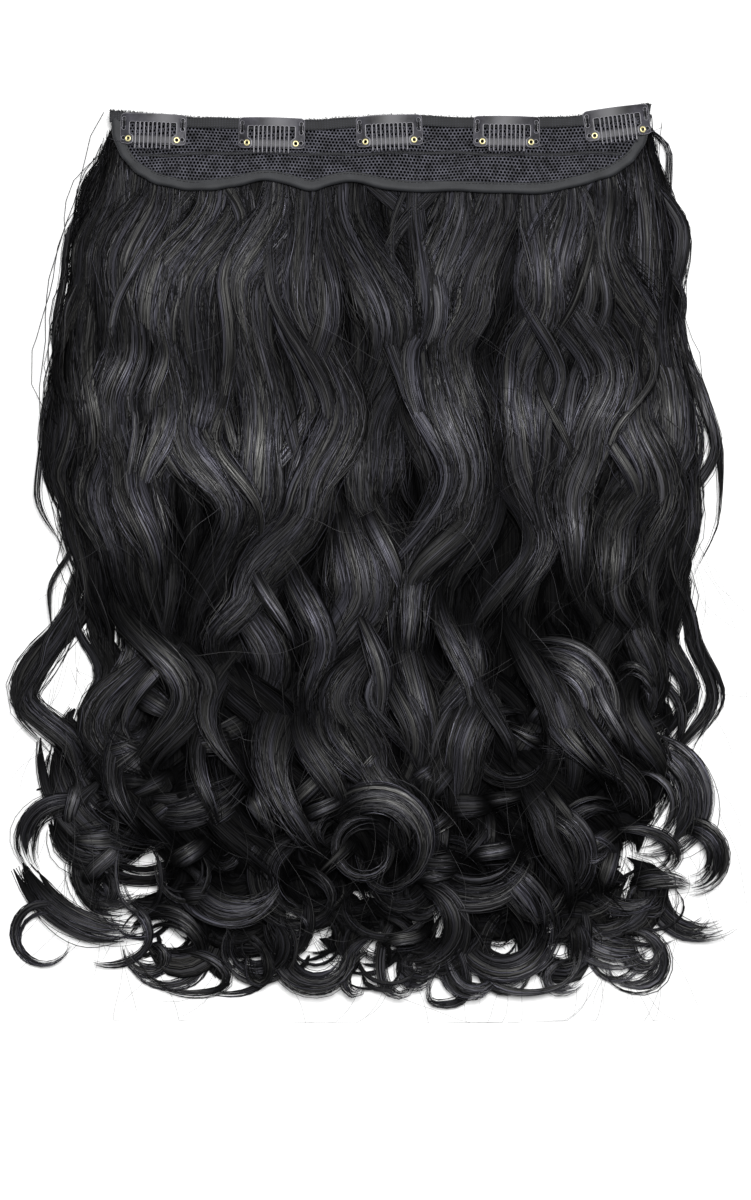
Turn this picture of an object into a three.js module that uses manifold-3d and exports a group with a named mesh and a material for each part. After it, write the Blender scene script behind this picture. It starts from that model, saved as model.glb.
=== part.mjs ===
// Clip-in hair extension, lying flat with its clips up.
// Millimetres, +X along the band, +Y from the hair's tips to the band, +Z up from the surface.
import * as THREE from 'three';
import { mergeVertices } from 'three/addons/utils/BufferGeometryUtils.js';
import Module from 'manifold-3d';

const wasm = await Module();
wasm.setup();

// Base
const baseWidth = 264;
const baseDrop = 36;
const netThickness = 1;
const tapeWall = 1;
const bandHeight = 5.2;
const bindingWidth = 5.2;
const seamDrop = 17.6;
const seamWidth = 1.8;
const fitGap = 0.3;
const endSag = 3.5;
const edgeSteps = 28;

// Hair
const hairWidth = 352;
const hairFall = 434;
const pileHeight = 29;
const hairBed = 12;
const lockWidth = 30;
const lockThickness = 9;
const curlRadius = 22;
const crest = 2.5;
const sideShare = 0.5;
const sideReach = 30;
const lockStep = 20;
const curlStep = 0.8;
const rootFullness = 0.5;
const tipFullness = 0.4;
const taper = 3;

// Snap combs
const combWidth = 32;
const combHeight = 14.6;
const combThickness = 0.6;
const combRise = 3;
const combCorner = 3;
const combFacets = 5;
const stripHeight = 4.2;
const legWidth = 4.4;
const toothCount = 9;
const toothPitch = 2.1;
const toothWidth = 0.8;
const toothLength = 12.5;
const toothTip = 0.4;
const slotCorner = 0.5;
const sewingHole = 1.8;
const sewingSlot = 6;
const sewingInset = 1.7;
const barWidth = 2.4;
const barThickness = 0.5;
const barRise = 0.5;
const barLift = 0.4;
const gripHeight = 4.6;
const gripWall = 0.4;
const gripLength = 18.8;
const earRadius = 2.2;
const eyeletDown = 5.1;
const eyeletSpacing = 23.6;
const eyeletFlange = 3;
const eyeletTube = 1.9;
const eyeletBore = 1.2;
const eyeletRim = 0.5;
const eyeletSides = 8;

const halfBase = baseWidth / 2;
const halfHair = hairWidth / 2;

// The base's outline: at is a share of half its width, rise and drop are shares of its depth
const outline = [
  { at: -0.99, rise: 0.09, drop: 0.1 },
  { at: -0.965, rise: 0.09, drop: 0.38 },
  { at: -0.915, rise: 0.08, drop: 0.68 },
  { at: -0.82, rise: 0.05, drop: 0.88 },
  { at: -0.69, rise: 0.01, drop: 0.99 },
  { at: -0.55, rise: -0.01, drop: 0.94 },
  { at: -0.4, rise: -0.03, drop: 0.86 },
  { at: -0.25, rise: -0.04, drop: 0.98 },
  { at: -0.11, rise: 0, drop: 0.88 },
  { at: 0.08, rise: 0.03, drop: 0.99 },
  { at: 0.33, rise: 0, drop: 1.01 },
  { at: 0.6, rise: 0, drop: 1.01 },
  { at: 0.79, rise: 0.05, drop: 0.87 },
  { at: 0.9, rise: 0.12, drop: 0.68 },
  { at: 0.975, rise: 0.18, drop: 0.39 },
  { at: 1, rise: 0.17, drop: 0.04 },
];

// One snap comb a row: at and down are shares of half the base's width and of its depth, turn is in degrees
const combs = [
  { at: -0.828, down: 0.16, turn: -2.5 },
  { at: -0.393, down: 0.22, turn: -1.4 },
  { at: 0.038, down: 0.19, turn: 2.5 },
  { at: 0.468, down: 0.2, turn: -0.7 },
  { at: 0.873, down: 0.07, turn: 7.8 },
];

// The mat of hair: down is a share of the fall, left and right are shares of half the hair's width,
// full is the mat's share of the pile's height
const mat = [
  { down: 0, left: -0.7, right: 0.72, full: 1 },
  { down: 0.08, left: -0.77, right: 0.77, full: 1 },
  { down: 0.2, left: -0.81, right: 0.8, full: 0.7 },
  { down: 0.3, left: -0.86, right: 0.83, full: 0.64 },
  { down: 0.42, left: -0.84, right: 0.84, full: 0.6 },
  { down: 0.5, left: -0.79, right: 0.84, full: 0.58 },
  { down: 0.58, left: -0.74, right: 0.8, full: 0.56 },
  { down: 0.68, left: -0.75, right: 0.77, full: 0.5 },
  { down: 0.76, left: -0.77, right: 0.74, full: 0.46 },
  { down: 0.84, left: -0.7, right: 0.7, full: 0.42 },
  { down: 0.9, left: -0.6, right: 0.6, full: 0.36 },
  { down: 0.945, left: -0.45, right: 0.5, full: 0.3 },
];

// Height of the pile's top over the fall, as a share of the pile
const pile = [
  { down: 0, top: 0.36 },
  { down: 0.1, top: 0.4 },
  { down: 0.16, top: 0.6 },
  { down: 0.4, top: 0.7 },
  { down: 0.6, top: 0.76 },
  { down: 0.76, top: 0.96 },
  { down: 0.88, top: 0.92 },
  { down: 1, top: 0.5 },
];

// Wavy locks: down and across place the root and each bend, as shares of the fall and of half the hair's
// width; width is a share of lockWidth, level is how high in the pile the lock lies
const locks = [
  { down: [0.04, 0.16, 0.32, 0.405, 0.49, 0.56], width: 0.5, level: 0.5,
    across: [-0.73, -0.82, -0.9, -0.92, -0.83, -0.82] },
  { down: [0.46, 0.54, 0.645, 0.71, 0.8], width: 0.6, level: 0.55,
    across: [-0.78, -0.85, -0.985, -0.84, -0.66] },
  { down: [0.08, 0.16, 0.26, 0.36, 0.42, 0.5, 0.58], width: 0.7, level: 0.9,
    across: [-0.72, -0.78, -0.8, -0.77, -0.81, -0.74, -0.7] },
  { down: [0.08, 0.17, 0.26, 0.32, 0.4, 0.5, 0.6], width: 0.9, level: 1,
    across: [-0.62, -0.7, -0.68, -0.73, -0.69, -0.61, -0.57] },
  { down: [0.09, 0.22, 0.33, 0.42, 0.52], width: 0.7, level: 0.92,
    across: [-0.56, -0.63, -0.58, -0.65, -0.6] },
  { down: [0.09, 0.19, 0.35, 0.44, 0.56], width: 1, level: 1,
    across: [-0.46, -0.6, -0.53, -0.4, -0.54] },
  { down: [0.09, 0.19, 0.31, 0.36, 0.45], width: 0.8, level: 0.92,
    across: [-0.38, -0.51, -0.48, -0.5, -0.41] },
  { down: [0.09, 0.19, 0.33, 0.41, 0.55], width: 1.1, level: 1,
    across: [-0.28, -0.39, -0.32, -0.33, -0.51] },
  { down: [0.09, 0.19, 0.33, 0.43, 0.53, 0.585, 0.69], width: 1.1, level: 1,
    across: [-0.2, -0.21, -0.1, -0.19, -0.36, -0.46, -0.34] },
  { down: [0.09, 0.24, 0.36, 0.42, 0.5, 0.58], width: 1.3, level: 0.94,
    across: [-0.1, 0.04, -0.02, -0.03, 0.06, 0] },
  { down: [0.09, 0.21, 0.36, 0.42, 0.49], width: 0.5, level: 1,
    across: [0.1, 0.13, -0.01, -0.02, 0.06] },
  { down: [0.09, 0.2, 0.3, 0.4, 0.54, 0.6, 0.68], width: 1.1, level: 1,
    across: [0.22, 0.15, 0.17, 0.24, 0.09, 0.08, 0.17] },
  { down: [0.09, 0.2, 0.26, 0.36, 0.44, 0.53], width: 1, level: 0.94,
    across: [0.34, 0.26, 0.2, 0.25, 0.25, 0.12] },
  { down: [0.09, 0.2, 0.3, 0.37, 0.47, 0.57], width: 1, level: 0.9,
    across: [0.44, 0.46, 0.38, 0.4, 0.46, 0.34] },
  { down: [0.09, 0.17, 0.29, 0.36, 0.43, 0.5, 0.6], width: 0.9, level: 1,
    across: [0.54, 0.5, 0.64, 0.58, 0.53, 0.54, 0.62] },
  { down: [0.08, 0.14, 0.3, 0.36, 0.47, 0.53, 0.62], width: 1.1, level: 1,
    across: [0.64, 0.62, 0.79, 0.8, 0.65, 0.64, 0.8] },
  { down: [0.06, 0.15, 0.33, 0.42, 0.5, 0.6], width: 0.9, level: 0.9,
    across: [0.72, 0.73, 0.7, 0.78, 0.71, 0.79] },
  { down: [0.03, 0.12, 0.2, 0.3, 0.42, 0.48, 0.54], width: 0.6, level: 0.5,
    across: [0.73, 0.78, 0.81, 0.84, 0.87, 0.87, 0.83] },
  { down: [0.52, 0.57, 0.645, 0.73], width: 0.3, level: 0.4,
    across: [0.82, 0.86, 0.925, 0.8] },
  { down: [0.42, 0.53, 0.61], width: 1.3, level: 1,
    across: [-0.1, -0.045, -0.14] },
  { down: [0.56, 0.65, 0.72, 0.78], width: 1, level: 0.95,
    across: [0.02, -0.11, -0.02, 0.1] },
  { down: [0.48, 0.59, 0.66], width: 0.7, level: 0.9,
    across: [-0.25, -0.15, -0.2] },
  { down: [0.56, 0.68, 0.77], width: 0.8, level: 0.9,
    across: [-0.57, -0.78, -0.62] },
  { down: [0.56, 0.62, 0.67], width: 0.7, level: 1,
    across: [0.24, 0.25, 0.16] },
  { down: [0.62, 0.71, 0.78], width: 0.9, level: 0.9,
    across: [0.3, 0.23, 0.22] },
  { down: [0.74, 0.79, 0.86], width: 0.6, level: 0.9,
    across: [0.4, 0.46, 0.53] },
];

// Ringlets: down and across place the centre, radius is a share of curlRadius, start and sweep are degrees
// anticlockwise from +X, width is a share of lockWidth, from and to are levels in the pile
const ringlets = [
  { down: 0.812, across: 0, radius: 1.04, start: 150, sweep: -215, width: 0.65, from: 1, to: 0.85 },
  { down: 0.66, across: 0.46, radius: 1.12, start: 105, sweep: -200, width: 0.65, from: 0.95, to: 0.95 },
  { down: 0.64, across: -0.53, radius: 2.5, start: -107, sweep: 52, width: 0.8, from: 0.85, to: 0.9 },
  { down: 0.83, across: -0.49, radius: 2, start: 54, sweep: -36, width: 0.8, from: 0.9, to: 0.8 },
  { down: 0.715, across: -0.6, radius: 2.15, start: 172, sweep: 98, width: 0.75, from: 0.75, to: 0.8 },
  { down: 0.815, across: -0.87, radius: 0.92, start: 65, sweep: 160, width: 0.5, from: 0.75, to: 0.6 },
  { down: 0.795, across: -0.67, radius: 2.42, start: 197, sweep: 80, width: 0.55, from: 0.6, to: 0.75 },
  { down: 0.915, across: -0.925, radius: 0.68, start: 35, sweep: 305, width: 0.2, from: 0.55, to: 0.3 },
  { down: 0.935, across: -0.59, radius: 0.82, start: 150, sweep: -320, width: 0.36, from: 0.75, to: 0.4 },
  { down: 0.94, across: -0.433, radius: 1.06, start: 30, sweep: -140, width: 0.18, from: 0.6, to: 0.3 },
  { down: 0.925, across: -0.34, radius: 0.62, start: 60, sweep: -300, width: 0.4, from: 0.8, to: 0.5 },
  { down: 0.93, across: -0.17, radius: 0.78, start: 175, sweep: 190, width: 0.45, from: 0.7, to: 0.75 },
  { down: 0.905, across: 0.1, radius: 0.9, start: 80, sweep: -200, width: 0.6, from: 0.85, to: 0.6 },
  { down: 0.9, across: 0.35, radius: 1, start: 185, sweep: 200, width: 0.55, from: 0.7, to: 0.8 },
  { down: 0.94, across: 0.25, radius: 1.87, start: 72, sweep: -52, width: 0.6, from: 0.9, to: 0.7 },
  { down: 0.94, across: 0.39, radius: 1.36, start: 32, sweep: -50, width: 0.55, from: 0.8, to: 0.5 },
  { down: 0.945, across: 0.705, radius: 0.68, start: 120, sweep: -300, width: 0.26, from: 0.7, to: 0.4 },
  { down: 0.875, across: 0.69, radius: 1.22, start: 190, sweep: 110, width: 0.55, from: 0.75, to: 0.6 },
  { down: 0.86, across: 0.905, radius: 1.1, start: 165, sweep: 128, width: 0.45, from: 0.7, to: 0.4 },
  { down: 0.768, across: 0.72, radius: 1.14, start: 88, sweep: -180, width: 0.75, from: 0.9, to: 0.75 },
  { down: 0.83, across: 0.855, radius: 0.68, start: 100, sweep: -190, width: 0.45, from: 0.8, to: 0.7 },
  { down: 0.93, across: 0.83, radius: 1.6, start: 128, sweep: -50, width: 0.5, from: 0.7, to: 0.7 },
  { down: 0.83, across: -0.38, radius: 1.1, start: 200, sweep: 130, width: 0.6, from: 0.8, to: 0.85 },
  { down: 0.85, across: -0.2, radius: 0.9, start: 100, sweep: 170, width: 0.5, from: 0.85, to: 0.75 },
  { down: 0.8, across: 0.28, radius: 1.3, start: 220, sweep: 110, width: 0.6, from: 0.8, to: 0.85 },
  { down: 0.83, across: 0.44, radius: 1, start: 90, sweep: -150, width: 0.5, from: 0.85, to: 0.8 },
  { down: 0.78, across: 0.6, radius: 1.1, start: 100, sweep: -110, width: 0.5, from: 0.9, to: 0.8 },
];

const finishes = {
  hair: { color: 0x17161a, roughness: 0.45, metalness: 0 },
  net: { color: 0x2a2b30, roughness: 0.8, metalness: 0 },
  tape: { color: 0x3a3c42, roughness: 0.75, metalness: 0 },
  comb: { color: 0x0c0c0e, roughness: 0.25, metalness: 0.4 },
  grip: { color: 0x2c2c30, roughness: 0.6, metalness: 0 },
  brass: { color: 0xd8c27a, roughness: 0.3, metalness: 1 },
};

const { lerp, clamp, degToRad, smoothstep } = THREE.MathUtils;
const part = new THREE.Group();

// Value of a table's column between its rows
function along(rows, down, column) {
  const place = clamp(down, rows[0].down, rows[rows.length - 1].down);
  const next = Math.max(1, rows.findIndex((row) => row.down >= place));
  const [a, b] = [rows[next - 1], rows[next]];
  return lerp(a[column], b[column], smoothstep(place, a.down, b.down));
}

// Top of the hair under the base, which lies lower towards the base's ends
function bedHeight(x) {
  return hairBed - endSag * Math.min(1, (x / halfBase) ** 2);
}

// Middle of the net's thickness
const bindingHalf = netThickness / 2 + fitGap + tapeWall;
function panelHeight(x) {
  return bedHeight(x) + fitGap + bindingHalf;
}

// Meshes and solids
function meshGeometry(position, index) {
  const geometry = new THREE.BufferGeometry();
  geometry.setAttribute('position', new THREE.Float32BufferAttribute(position, 3));
  geometry.setIndex(index);
  return geometry;
}

function solidOf(geometry) {
  const bare = geometry.clone();
  bare.deleteAttribute('normal');
  bare.deleteAttribute('uv');
  const merged = mergeVertices(bare, 1e-4);
  return new wasm.Manifold(new wasm.Mesh({
    numProp: 3,
    vertProperties: new Float32Array(merged.attributes.position.array),
    triVerts: new Uint32Array(merged.index.array),
  }));
}

function geometryOf(made) {
  const mesh = made.getMesh();
  const position = [];
  for (let i = 0; i < mesh.numVert; i += 1) {
    position.push(...mesh.vertProperties.subarray(i * mesh.numProp, i * mesh.numProp + 3));
  }
  return meshGeometry(position, Array.from(mesh.triVerts));
}

function addMesh(parent, name, geometry, finish) {
  const mesh = new THREE.Mesh(geometry, new THREE.MeshStandardMaterial(finishes[finish]));
  mesh.name = name;
  parent.add(mesh);
}

function turnedIn(geometry) {
  const { position } = geometry.attributes;
  const corner = (i) => new THREE.Vector3().fromBufferAttribute(position, geometry.index.getX(i));
  let volume = 0;
  for (let i = 0; i < geometry.index.count; i += 3) {
    volume += corner(i).dot(corner(i + 1).cross(corner(i + 2)));
  }
  return volume < 0;
}

// A closed body through rings of points, with flat ends; section is a ring's shape in its own plane
function loft(rings, section) {
  const sides = section.length;
  const index = [];
  for (let r = 0; r + 1 < rings.length; r += 1) {
    for (let s = 0; s < sides; s += 1) {
      const a = r * sides + s;
      const b = r * sides + ((s + 1) % sides);
      index.push(a, b, b + sides, a, b + sides, a + sides);
    }
  }
  const flat = section.map(([u, v]) => new THREE.Vector2(u, v));
  const way = Math.sign(THREE.ShapeUtils.area(flat));
  const last = (rings.length - 1) * sides;
  for (const face of THREE.ShapeUtils.triangulateShape(flat, [])) {
    const faceWay = Math.sign(THREE.ShapeUtils.area(face.map((i) => flat[i])));
    const [a, b, c] = faceWay === way ? face : [...face].reverse();
    index.push(c, b, a, last + a, last + b, last + c);
  }
  const position = rings.flat().flatMap((p) => [p.x, p.y, p.z]);
  const made = meshGeometry(position, index);
  return turnedIn(made) ? meshGeometry(position, index.reverse()) : made;
}

// Base: its two outline curves in plan
const topCurve = new THREE.SplineCurve(
  outline.map((row) => new THREE.Vector2(row.at * halfBase, row.rise * baseDrop)),
);
const lowCurve = new THREE.SplineCurve(
  outline.map((row) => new THREE.Vector2(row.at * halfBase, -row.drop * baseDrop)),
);

// A point of a plan curve moved towards the middle of the base
function insetPoint(curve, t, inset) {
  const point = curve.getPoint(t);
  const tangent = curve.getTangent(t);
  const inwards = curve === topCurve ? -1 : 1;
  return new THREE.Vector2(
    point.x - inwards * tangent.y * inset,
    point.y + inwards * tangent.x * inset,
  );
}

function onPanel(plan, lift) {
  return new THREE.Vector3(plan.x, plan.y, panelHeight(plan.x) + lift);
}

// A strip along a plan curve; profile points are [inset from the curve, height over the panel's middle]
function edgeStrip(curve, profile, from, to) {
  const rings = [];
  for (let i = 0; i <= edgeSteps; i += 1) {
    const t = lerp(from, to, i / edgeSteps);
    rings.push(profile.map(([inset, lift]) => onPanel(insetPoint(curve, t, inset), lift)));
  }
  return loft(rings, profile);
}

// The first place along the lower curve, from one end, where the tape's inner edge has dropped far enough
function placeBelow(fromRight, inset, drop) {
  const steps = 400;
  for (let i = 0; i < steps; i += 1) {
    const t = fromRight ? 1 - i / steps : i / steps;
    const inner = insetPoint(lowCurve, t, inset);
    const outer = lowCurve.getPoint(t);
    if (Math.max(inner.y, outer.y) <= drop(t)) {
      return t;
    }
  }
  return 0.5;
}

const underTape = netThickness / 2 + fitGap;
const overTape = underTape + tapeWall;
const belowBand = (t) => topCurve.getPoint(t).y - bandHeight - fitGap;
const bindingFrom = placeBelow(false, bindingWidth, belowBand);
const bindingTo = placeBelow(true, bindingWidth, belowBand);

// The net's edges lie under the band and inside the folded binding
function buildNet() {
  const rows = 2;
  const rings = [];
  for (let i = 0; i <= edgeSteps; i += 1) {
    const t = lerp(bindingFrom, bindingTo, i / edgeSteps);
    const high = insetPoint(topCurve, t, fitGap);
    const low = insetPoint(lowCurve, t, tapeWall + fitGap);
    const plan = Array.from({ length: rows + 1 }, (_, r) => high.clone().lerp(low, r / rows));
    const upper = plan.map((p) => onPanel(p, netThickness / 2));
    const lower = plan.map((p) => onPanel(p, -netThickness / 2)).reverse();
    rings.push([...upper, ...lower]);
  }
  const across = Array.from({ length: rows + 1 }, (_, r) => [r, netThickness]);
  const back = across.map(([r]) => [r, 0]).reverse();
  addMesh(part, 'base_net', loft(rings, [...across, ...back]), 'net');
}

function buildBand() {
  const profile = [[0, underTape], [bandHeight, underTape], [bandHeight, overTape], [0, overTape]];
  addMesh(part, 'top_band', edgeStrip(topCurve, profile, 0, 1), 'tape');
}

// The tape is folded round the net's edge
function buildBinding() {
  const profile = [
    [0, -overTape],
    [bindingWidth, -overTape],
    [bindingWidth, -underTape],
    [tapeWall, -underTape],
    [tapeWall, underTape],
    [bindingWidth, underTape],
    [bindingWidth, overTape],
    [0, overTape],
  ];
  addMesh(part, 'lower_binding', edgeStrip(lowCurve, profile, bindingFrom, bindingTo), 'tape');
}

function buildSeam() {
  const inner = bindingWidth + fitGap;
  const drop = () => -seamDrop - seamWidth / 2;
  const left = insetPoint(lowCurve, placeBelow(false, inner, drop), inner).x;
  const right = insetPoint(lowCurve, placeBelow(true, inner, drop), inner).x;
  const section = [[-1, underTape], [1, underTape], [1, overTape], [-1, overTape]];
  const rings = [];
  for (let i = 0; i <= edgeSteps / 2; i += 1) {
    const x = lerp(left, right, (2 * i) / edgeSteps);
    rings.push(section.map(([side, lift]) => (
      onPanel(new THREE.Vector2(x, -seamDrop + (side * seamWidth) / 2), lift)
    )));
  }
  addMesh(part, 'net_seam', loft(rings, section), 'tape');
}

// Snap combs, in their own frame: +X along the comb, +Y to its closed edge, Z = 0 where its ends rest
function bow(x, half, rise) {
  return rise * Math.max(0, 1 - (x / half) ** 2);
}

// A bowed strip of sheet, flat between its facets, as wide as depth in Y
function bowedSheet(half, facets, height, thickness, depth, middleY) {
  const under = [];
  for (let i = 0; i <= facets; i += 1) {
    const x = lerp(-half, half, i / facets);
    under.push(new THREE.Vector2(x, height(x)));
  }
  const over = under.map((p) => new THREE.Vector2(p.x, p.y + thickness)).reverse();
  const sheet = new THREE.ExtrudeGeometry(
    new THREE.Shape([...under, ...over]),
    { depth, bevelEnabled: false },
  );
  sheet.rotateX(Math.PI / 2);
  sheet.translate(0, middleY + depth / 2, 0);
  return solidOf(sheet);
}

// A plan outline with holes, tall enough to cut a sheet
function planCutter(shape) {
  const reach = 2 * (combRise + combThickness);
  const cutter = new THREE.ExtrudeGeometry(
    shape,
    { depth: 2 * reach, bevelEnabled: false, curveSegments: 2 },
  );
  cutter.translate(0, 0, -reach);
  return solidOf(cutter);
}

const combHalf = combWidth / 2;
const combTop = combHeight / 2;
const windowHalf = combHalf - legWidth;
const windowTop = combTop - stripHeight;
const toothEnd = windowTop - toothLength;
const eyeletX = eyeletSpacing / 2;
const eyeletY = -eyeletDown;

// The comb's outline runs round its outer edge, then round each tooth and the slots between them
function combShape() {
  const shape = new THREE.Shape();
  const corner = combCorner;
  shape.moveTo(-combHalf, -combTop + corner / 2);
  shape.lineTo(-combHalf, combTop - corner);
  shape.quadraticCurveTo(-combHalf, combTop, -combHalf + corner, combTop);
  shape.lineTo(combHalf - corner, combTop);
  shape.quadraticCurveTo(combHalf, combTop, combHalf, combTop - corner);
  shape.lineTo(combHalf, -combTop + corner / 2);
  shape.lineTo(combHalf - corner / 2, -combTop);
  shape.lineTo(eyeletX, -combTop);
  shape.lineTo(windowHalf, eyeletY);
  let right = windowHalf;
  for (let i = 0; i <= toothCount; i += 1) {
    const middle = ((toothCount - 1) / 2 - i) * toothPitch;
    const left = i < toothCount ? middle + toothWidth / 2 : -windowHalf;
    shape.lineTo(right, windowTop - slotCorner);
    shape.lineTo(right - slotCorner, windowTop);
    shape.lineTo(left + slotCorner, windowTop);
    shape.lineTo(left, windowTop - slotCorner);
    if (i < toothCount) {
      right = middle - toothWidth / 2;
      shape.lineTo(left, toothEnd + toothTip);
      shape.lineTo(middle, toothEnd);
      shape.lineTo(right, toothEnd + toothTip);
    }
  }
  shape.lineTo(-windowHalf, eyeletY);
  shape.lineTo(-eyeletX, -combTop);
  shape.lineTo(-combHalf + corner / 2, -combTop);
  return shape;
}

// A slot along Y: a round hole where its length is its width
function slotPath(x, y, length) {
  const radius = sewingHole / 2;
  const straight = length / 2 - radius;
  const points = [];
  for (const side of [0, 1]) {
    for (let i = 0; i <= 2; i += 1) {
      const angle = Math.PI * (side + (1 + 2 * i) / 6);
      const middle = y + (side ? -straight : straight);
      points.push(new THREE.Vector2(x + radius * Math.cos(angle), middle + radius * Math.sin(angle)));
    }
  }
  return new THREE.Shape(points);
}

function combFacet(x) {
  const step = combWidth / combFacets;
  const edge = Math.floor((x + combHalf) / step) * step - combHalf;
  const [a, b] = [bow(edge, combHalf, combRise), bow(edge + step, combHalf, combRise)];
  return { height: lerp(a, b, (x - edge) / step), slope: (b - a) / step };
}

// Places a geometry on the comb where an eyelet goes through, square to the sheet
function atEyelet(geometry, side) {
  const { height, slope } = combFacet(side * eyeletX);
  geometry.rotateX(Math.PI / 2);
  geometry.rotateY(-Math.atan(slope));
  geometry.translate(side * eyeletX, eyeletY, height);
  return geometry;
}

function eyeletHole(side) {
  const hole = new THREE.CylinderGeometry(
    eyeletTube / 2 + fitGap,
    eyeletTube / 2 + fitGap,
    2 * combRise,
    eyeletSides,
  );
  return solidOf(atEyelet(hole, side));
}

function ear(side) {
  const disc = new THREE.CylinderGeometry(earRadius, earRadius, 4 * combRise, eyeletSides);
  disc.rotateX(Math.PI / 2);
  disc.translate(side * eyeletX, eyeletY, 0);
  return solidOf(disc);
}

function combPlate() {
  const ears = ear(-1).add(ear(1));
  const outlineCutter = planCutter(combShape()).add(ears);
  const reach = combHeight + toothLength;
  const sheet = bowedSheet(
    combHalf,
    combFacets,
    (x) => bow(x, combHalf, combRise),
    combThickness,
    reach,
    combTop - reach / 2,
  );
  let plate = sheet.intersect(outlineCutter);
  for (const side of [-1, 1]) {
    const x = side * (combHalf - sewingInset);
    const slot = slotPath(x, windowTop - sewingSlot / 2, sewingSlot);
    const hole = slotPath(x, eyeletY, sewingHole);
    plate = plate.subtract(planCutter(slot)).subtract(planCutter(hole)).subtract(eyeletHole(side));
  }
  return geometryOf(plate);
}

// The bar bows under the teeth, and its ends lie against the comb
function barHeight(x) {
  const underComb = combFacet(x).height - fitGap - barThickness;
  return Math.min(barLift + bow(x, eyeletX, barRise), underComb);
}

function springBar() {
  const end = eyeletX + earRadius;
  const strip = new THREE.Shape([
    new THREE.Vector2(-eyeletX, eyeletY - barWidth / 2),
    new THREE.Vector2(eyeletX, eyeletY - barWidth / 2),
    new THREE.Vector2(eyeletX, eyeletY + barWidth / 2),
    new THREE.Vector2(-eyeletX, eyeletY + barWidth / 2),
  ]);
  const plan = planCutter(strip).add(ear(-1)).add(ear(1));
  const sheet = bowedSheet(end, combFacets, barHeight, barThickness, 2 * combHeight, eyeletY);
  return geometryOf(sheet.intersect(plan).subtract(eyeletHole(-1)).subtract(eyeletHole(1)));
}

// A flat silicone sleeve round the bar, open at both ends
function gripSleeve() {
  const half = gripLength / 2;
  const under = fitGap + gripWall;
  const sleeve = (lift, thickness, depth) => (
    bowedSheet(half, combFacets, (x) => barHeight(x) + lift, thickness, depth, eyeletY)
  );
  const outer = sleeve(-under, barThickness + 2 * under, gripHeight);
  const inner = sleeve(-fitGap, barThickness + 2 * fitGap, barWidth + 2 * fitGap);
  return geometryOf(outer.subtract(inner));
}

// A rolled rim over the comb, and a tube through the comb and the bar
function eyelet(side) {
  const { height } = combFacet(side * eyeletX);
  const rimUnder = combThickness + fitGap;
  const tubeEnd = barHeight(eyeletX) - height;
  const profile = [
    [eyeletBore / 2, tubeEnd],
    [eyeletTube / 2, tubeEnd],
    [eyeletTube / 2, rimUnder],
    [eyeletFlange / 2, rimUnder],
    [eyeletFlange / 2, rimUnder + eyeletRim],
    [eyeletBore / 2, rimUnder + eyeletRim],
    [eyeletBore / 2, tubeEnd],
  ].map(([r, z]) => new THREE.Vector2(r, z));
  return atEyelet(new THREE.LatheGeometry(profile, eyeletSides), side);
}

function buildCombs() {
  combs.forEach((row, i) => {
    const x = row.at * halfBase;
    const y = -row.down * baseDrop;
    const tilt = new THREE.Group();
    tilt.position.set(x, y, panelHeight(x) + overTape + fitGap);
    tilt.rotation.y = Math.atan((2 * endSag * x) / halfBase ** 2);
    const comb = new THREE.Group();
    comb.rotation.z = degToRad(row.turn);
    tilt.add(comb);
    part.add(tilt);
    const n = i + 1;
    addMesh(comb, `comb_${n}`, combPlate(), 'comb');
    addMesh(comb, `bar_${n}`, springBar(), 'comb');
    addMesh(comb, `grip_${n}`, gripSleeve(), 'grip');
    addMesh(comb, `eyelet_${n}_left`, eyelet(-1), 'brass');
    addMesh(comb, `eyelet_${n}_right`, eyelet(1), 'brass');
  });
}

// Hair: how high the pile lies at a place, under the base and beyond it, and lower at its sides
function hairTop(x, y) {
  const down = -y / hairFall;
  const inside = Math.min(
    x - along(mat, down, 'left') * halfHair,
    along(mat, down, 'right') * halfHair - x,
  );
  const crown = lerp(sideShare, 1, smoothstep(inside, -sideReach / 3, sideReach));
  const free = along(pile, down, 'top') * pileHeight * crown;
  const beyond = Math.max(0, -y - baseDrop - 2 * fitGap);
  return Math.min(free, bedHeight(x) + beyond / 2);
}

const matShares = [0, 0.06, 0.18, 0.5, 0.82, 0.94, 1];
const matSection = [...matShares.map((share) => [share, 1]), [1, 0], [0, 0]];

function matBody() {
  const rings = mat.map((row) => {
    const y = -row.down * hairFall;
    return matSection.map(([place, up]) => {
      const x = lerp(row.left, row.right, place) * halfHair;
      return new THREE.Vector3(x, y, up * row.full * hairTop(x, y));
    });
  });
  return solidOf(loft(rings, matSection));
}

const strandSection = [[-1, -2.6], [-0.2, 1], [1, -2.6]];

// A body of hair along a path, narrower towards its ends
function strand(path, width, thickness) {
  const rings = path.map((point, i) => {
    const before = path[Math.max(0, i - 1)];
    const after = path[Math.min(path.length - 1, i + 1)];
    const run = new THREE.Vector2(after.x - before.x, after.y - before.y).normalize();
    const place = i / (path.length - 1);
    const fullness = Math.min(1, rootFullness + taper * place, tipFullness + taper * (1 - place));
    return strandSection.map(([side, up]) => new THREE.Vector3(
      point.x + (side * fullness * width * run.y) / 2,
      point.y - (side * fullness * width * run.x) / 2,
      Math.max(0, point.z + (up * fullness * thickness) / 2),
    ));
  });
  return solidOf(loft(rings, strandSection));
}

function strandThickness(row) {
  return lockThickness * Math.min(1, row.width + 0.2);
}

function strandMiddle(x, y, level, swing, thickness) {
  const top = hairTop(x, y);
  const middle = Math.min(top * level + swing, top) - thickness / 2;
  return new THREE.Vector3(x, y, Math.max(thickness / 2, middle));
}

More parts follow.
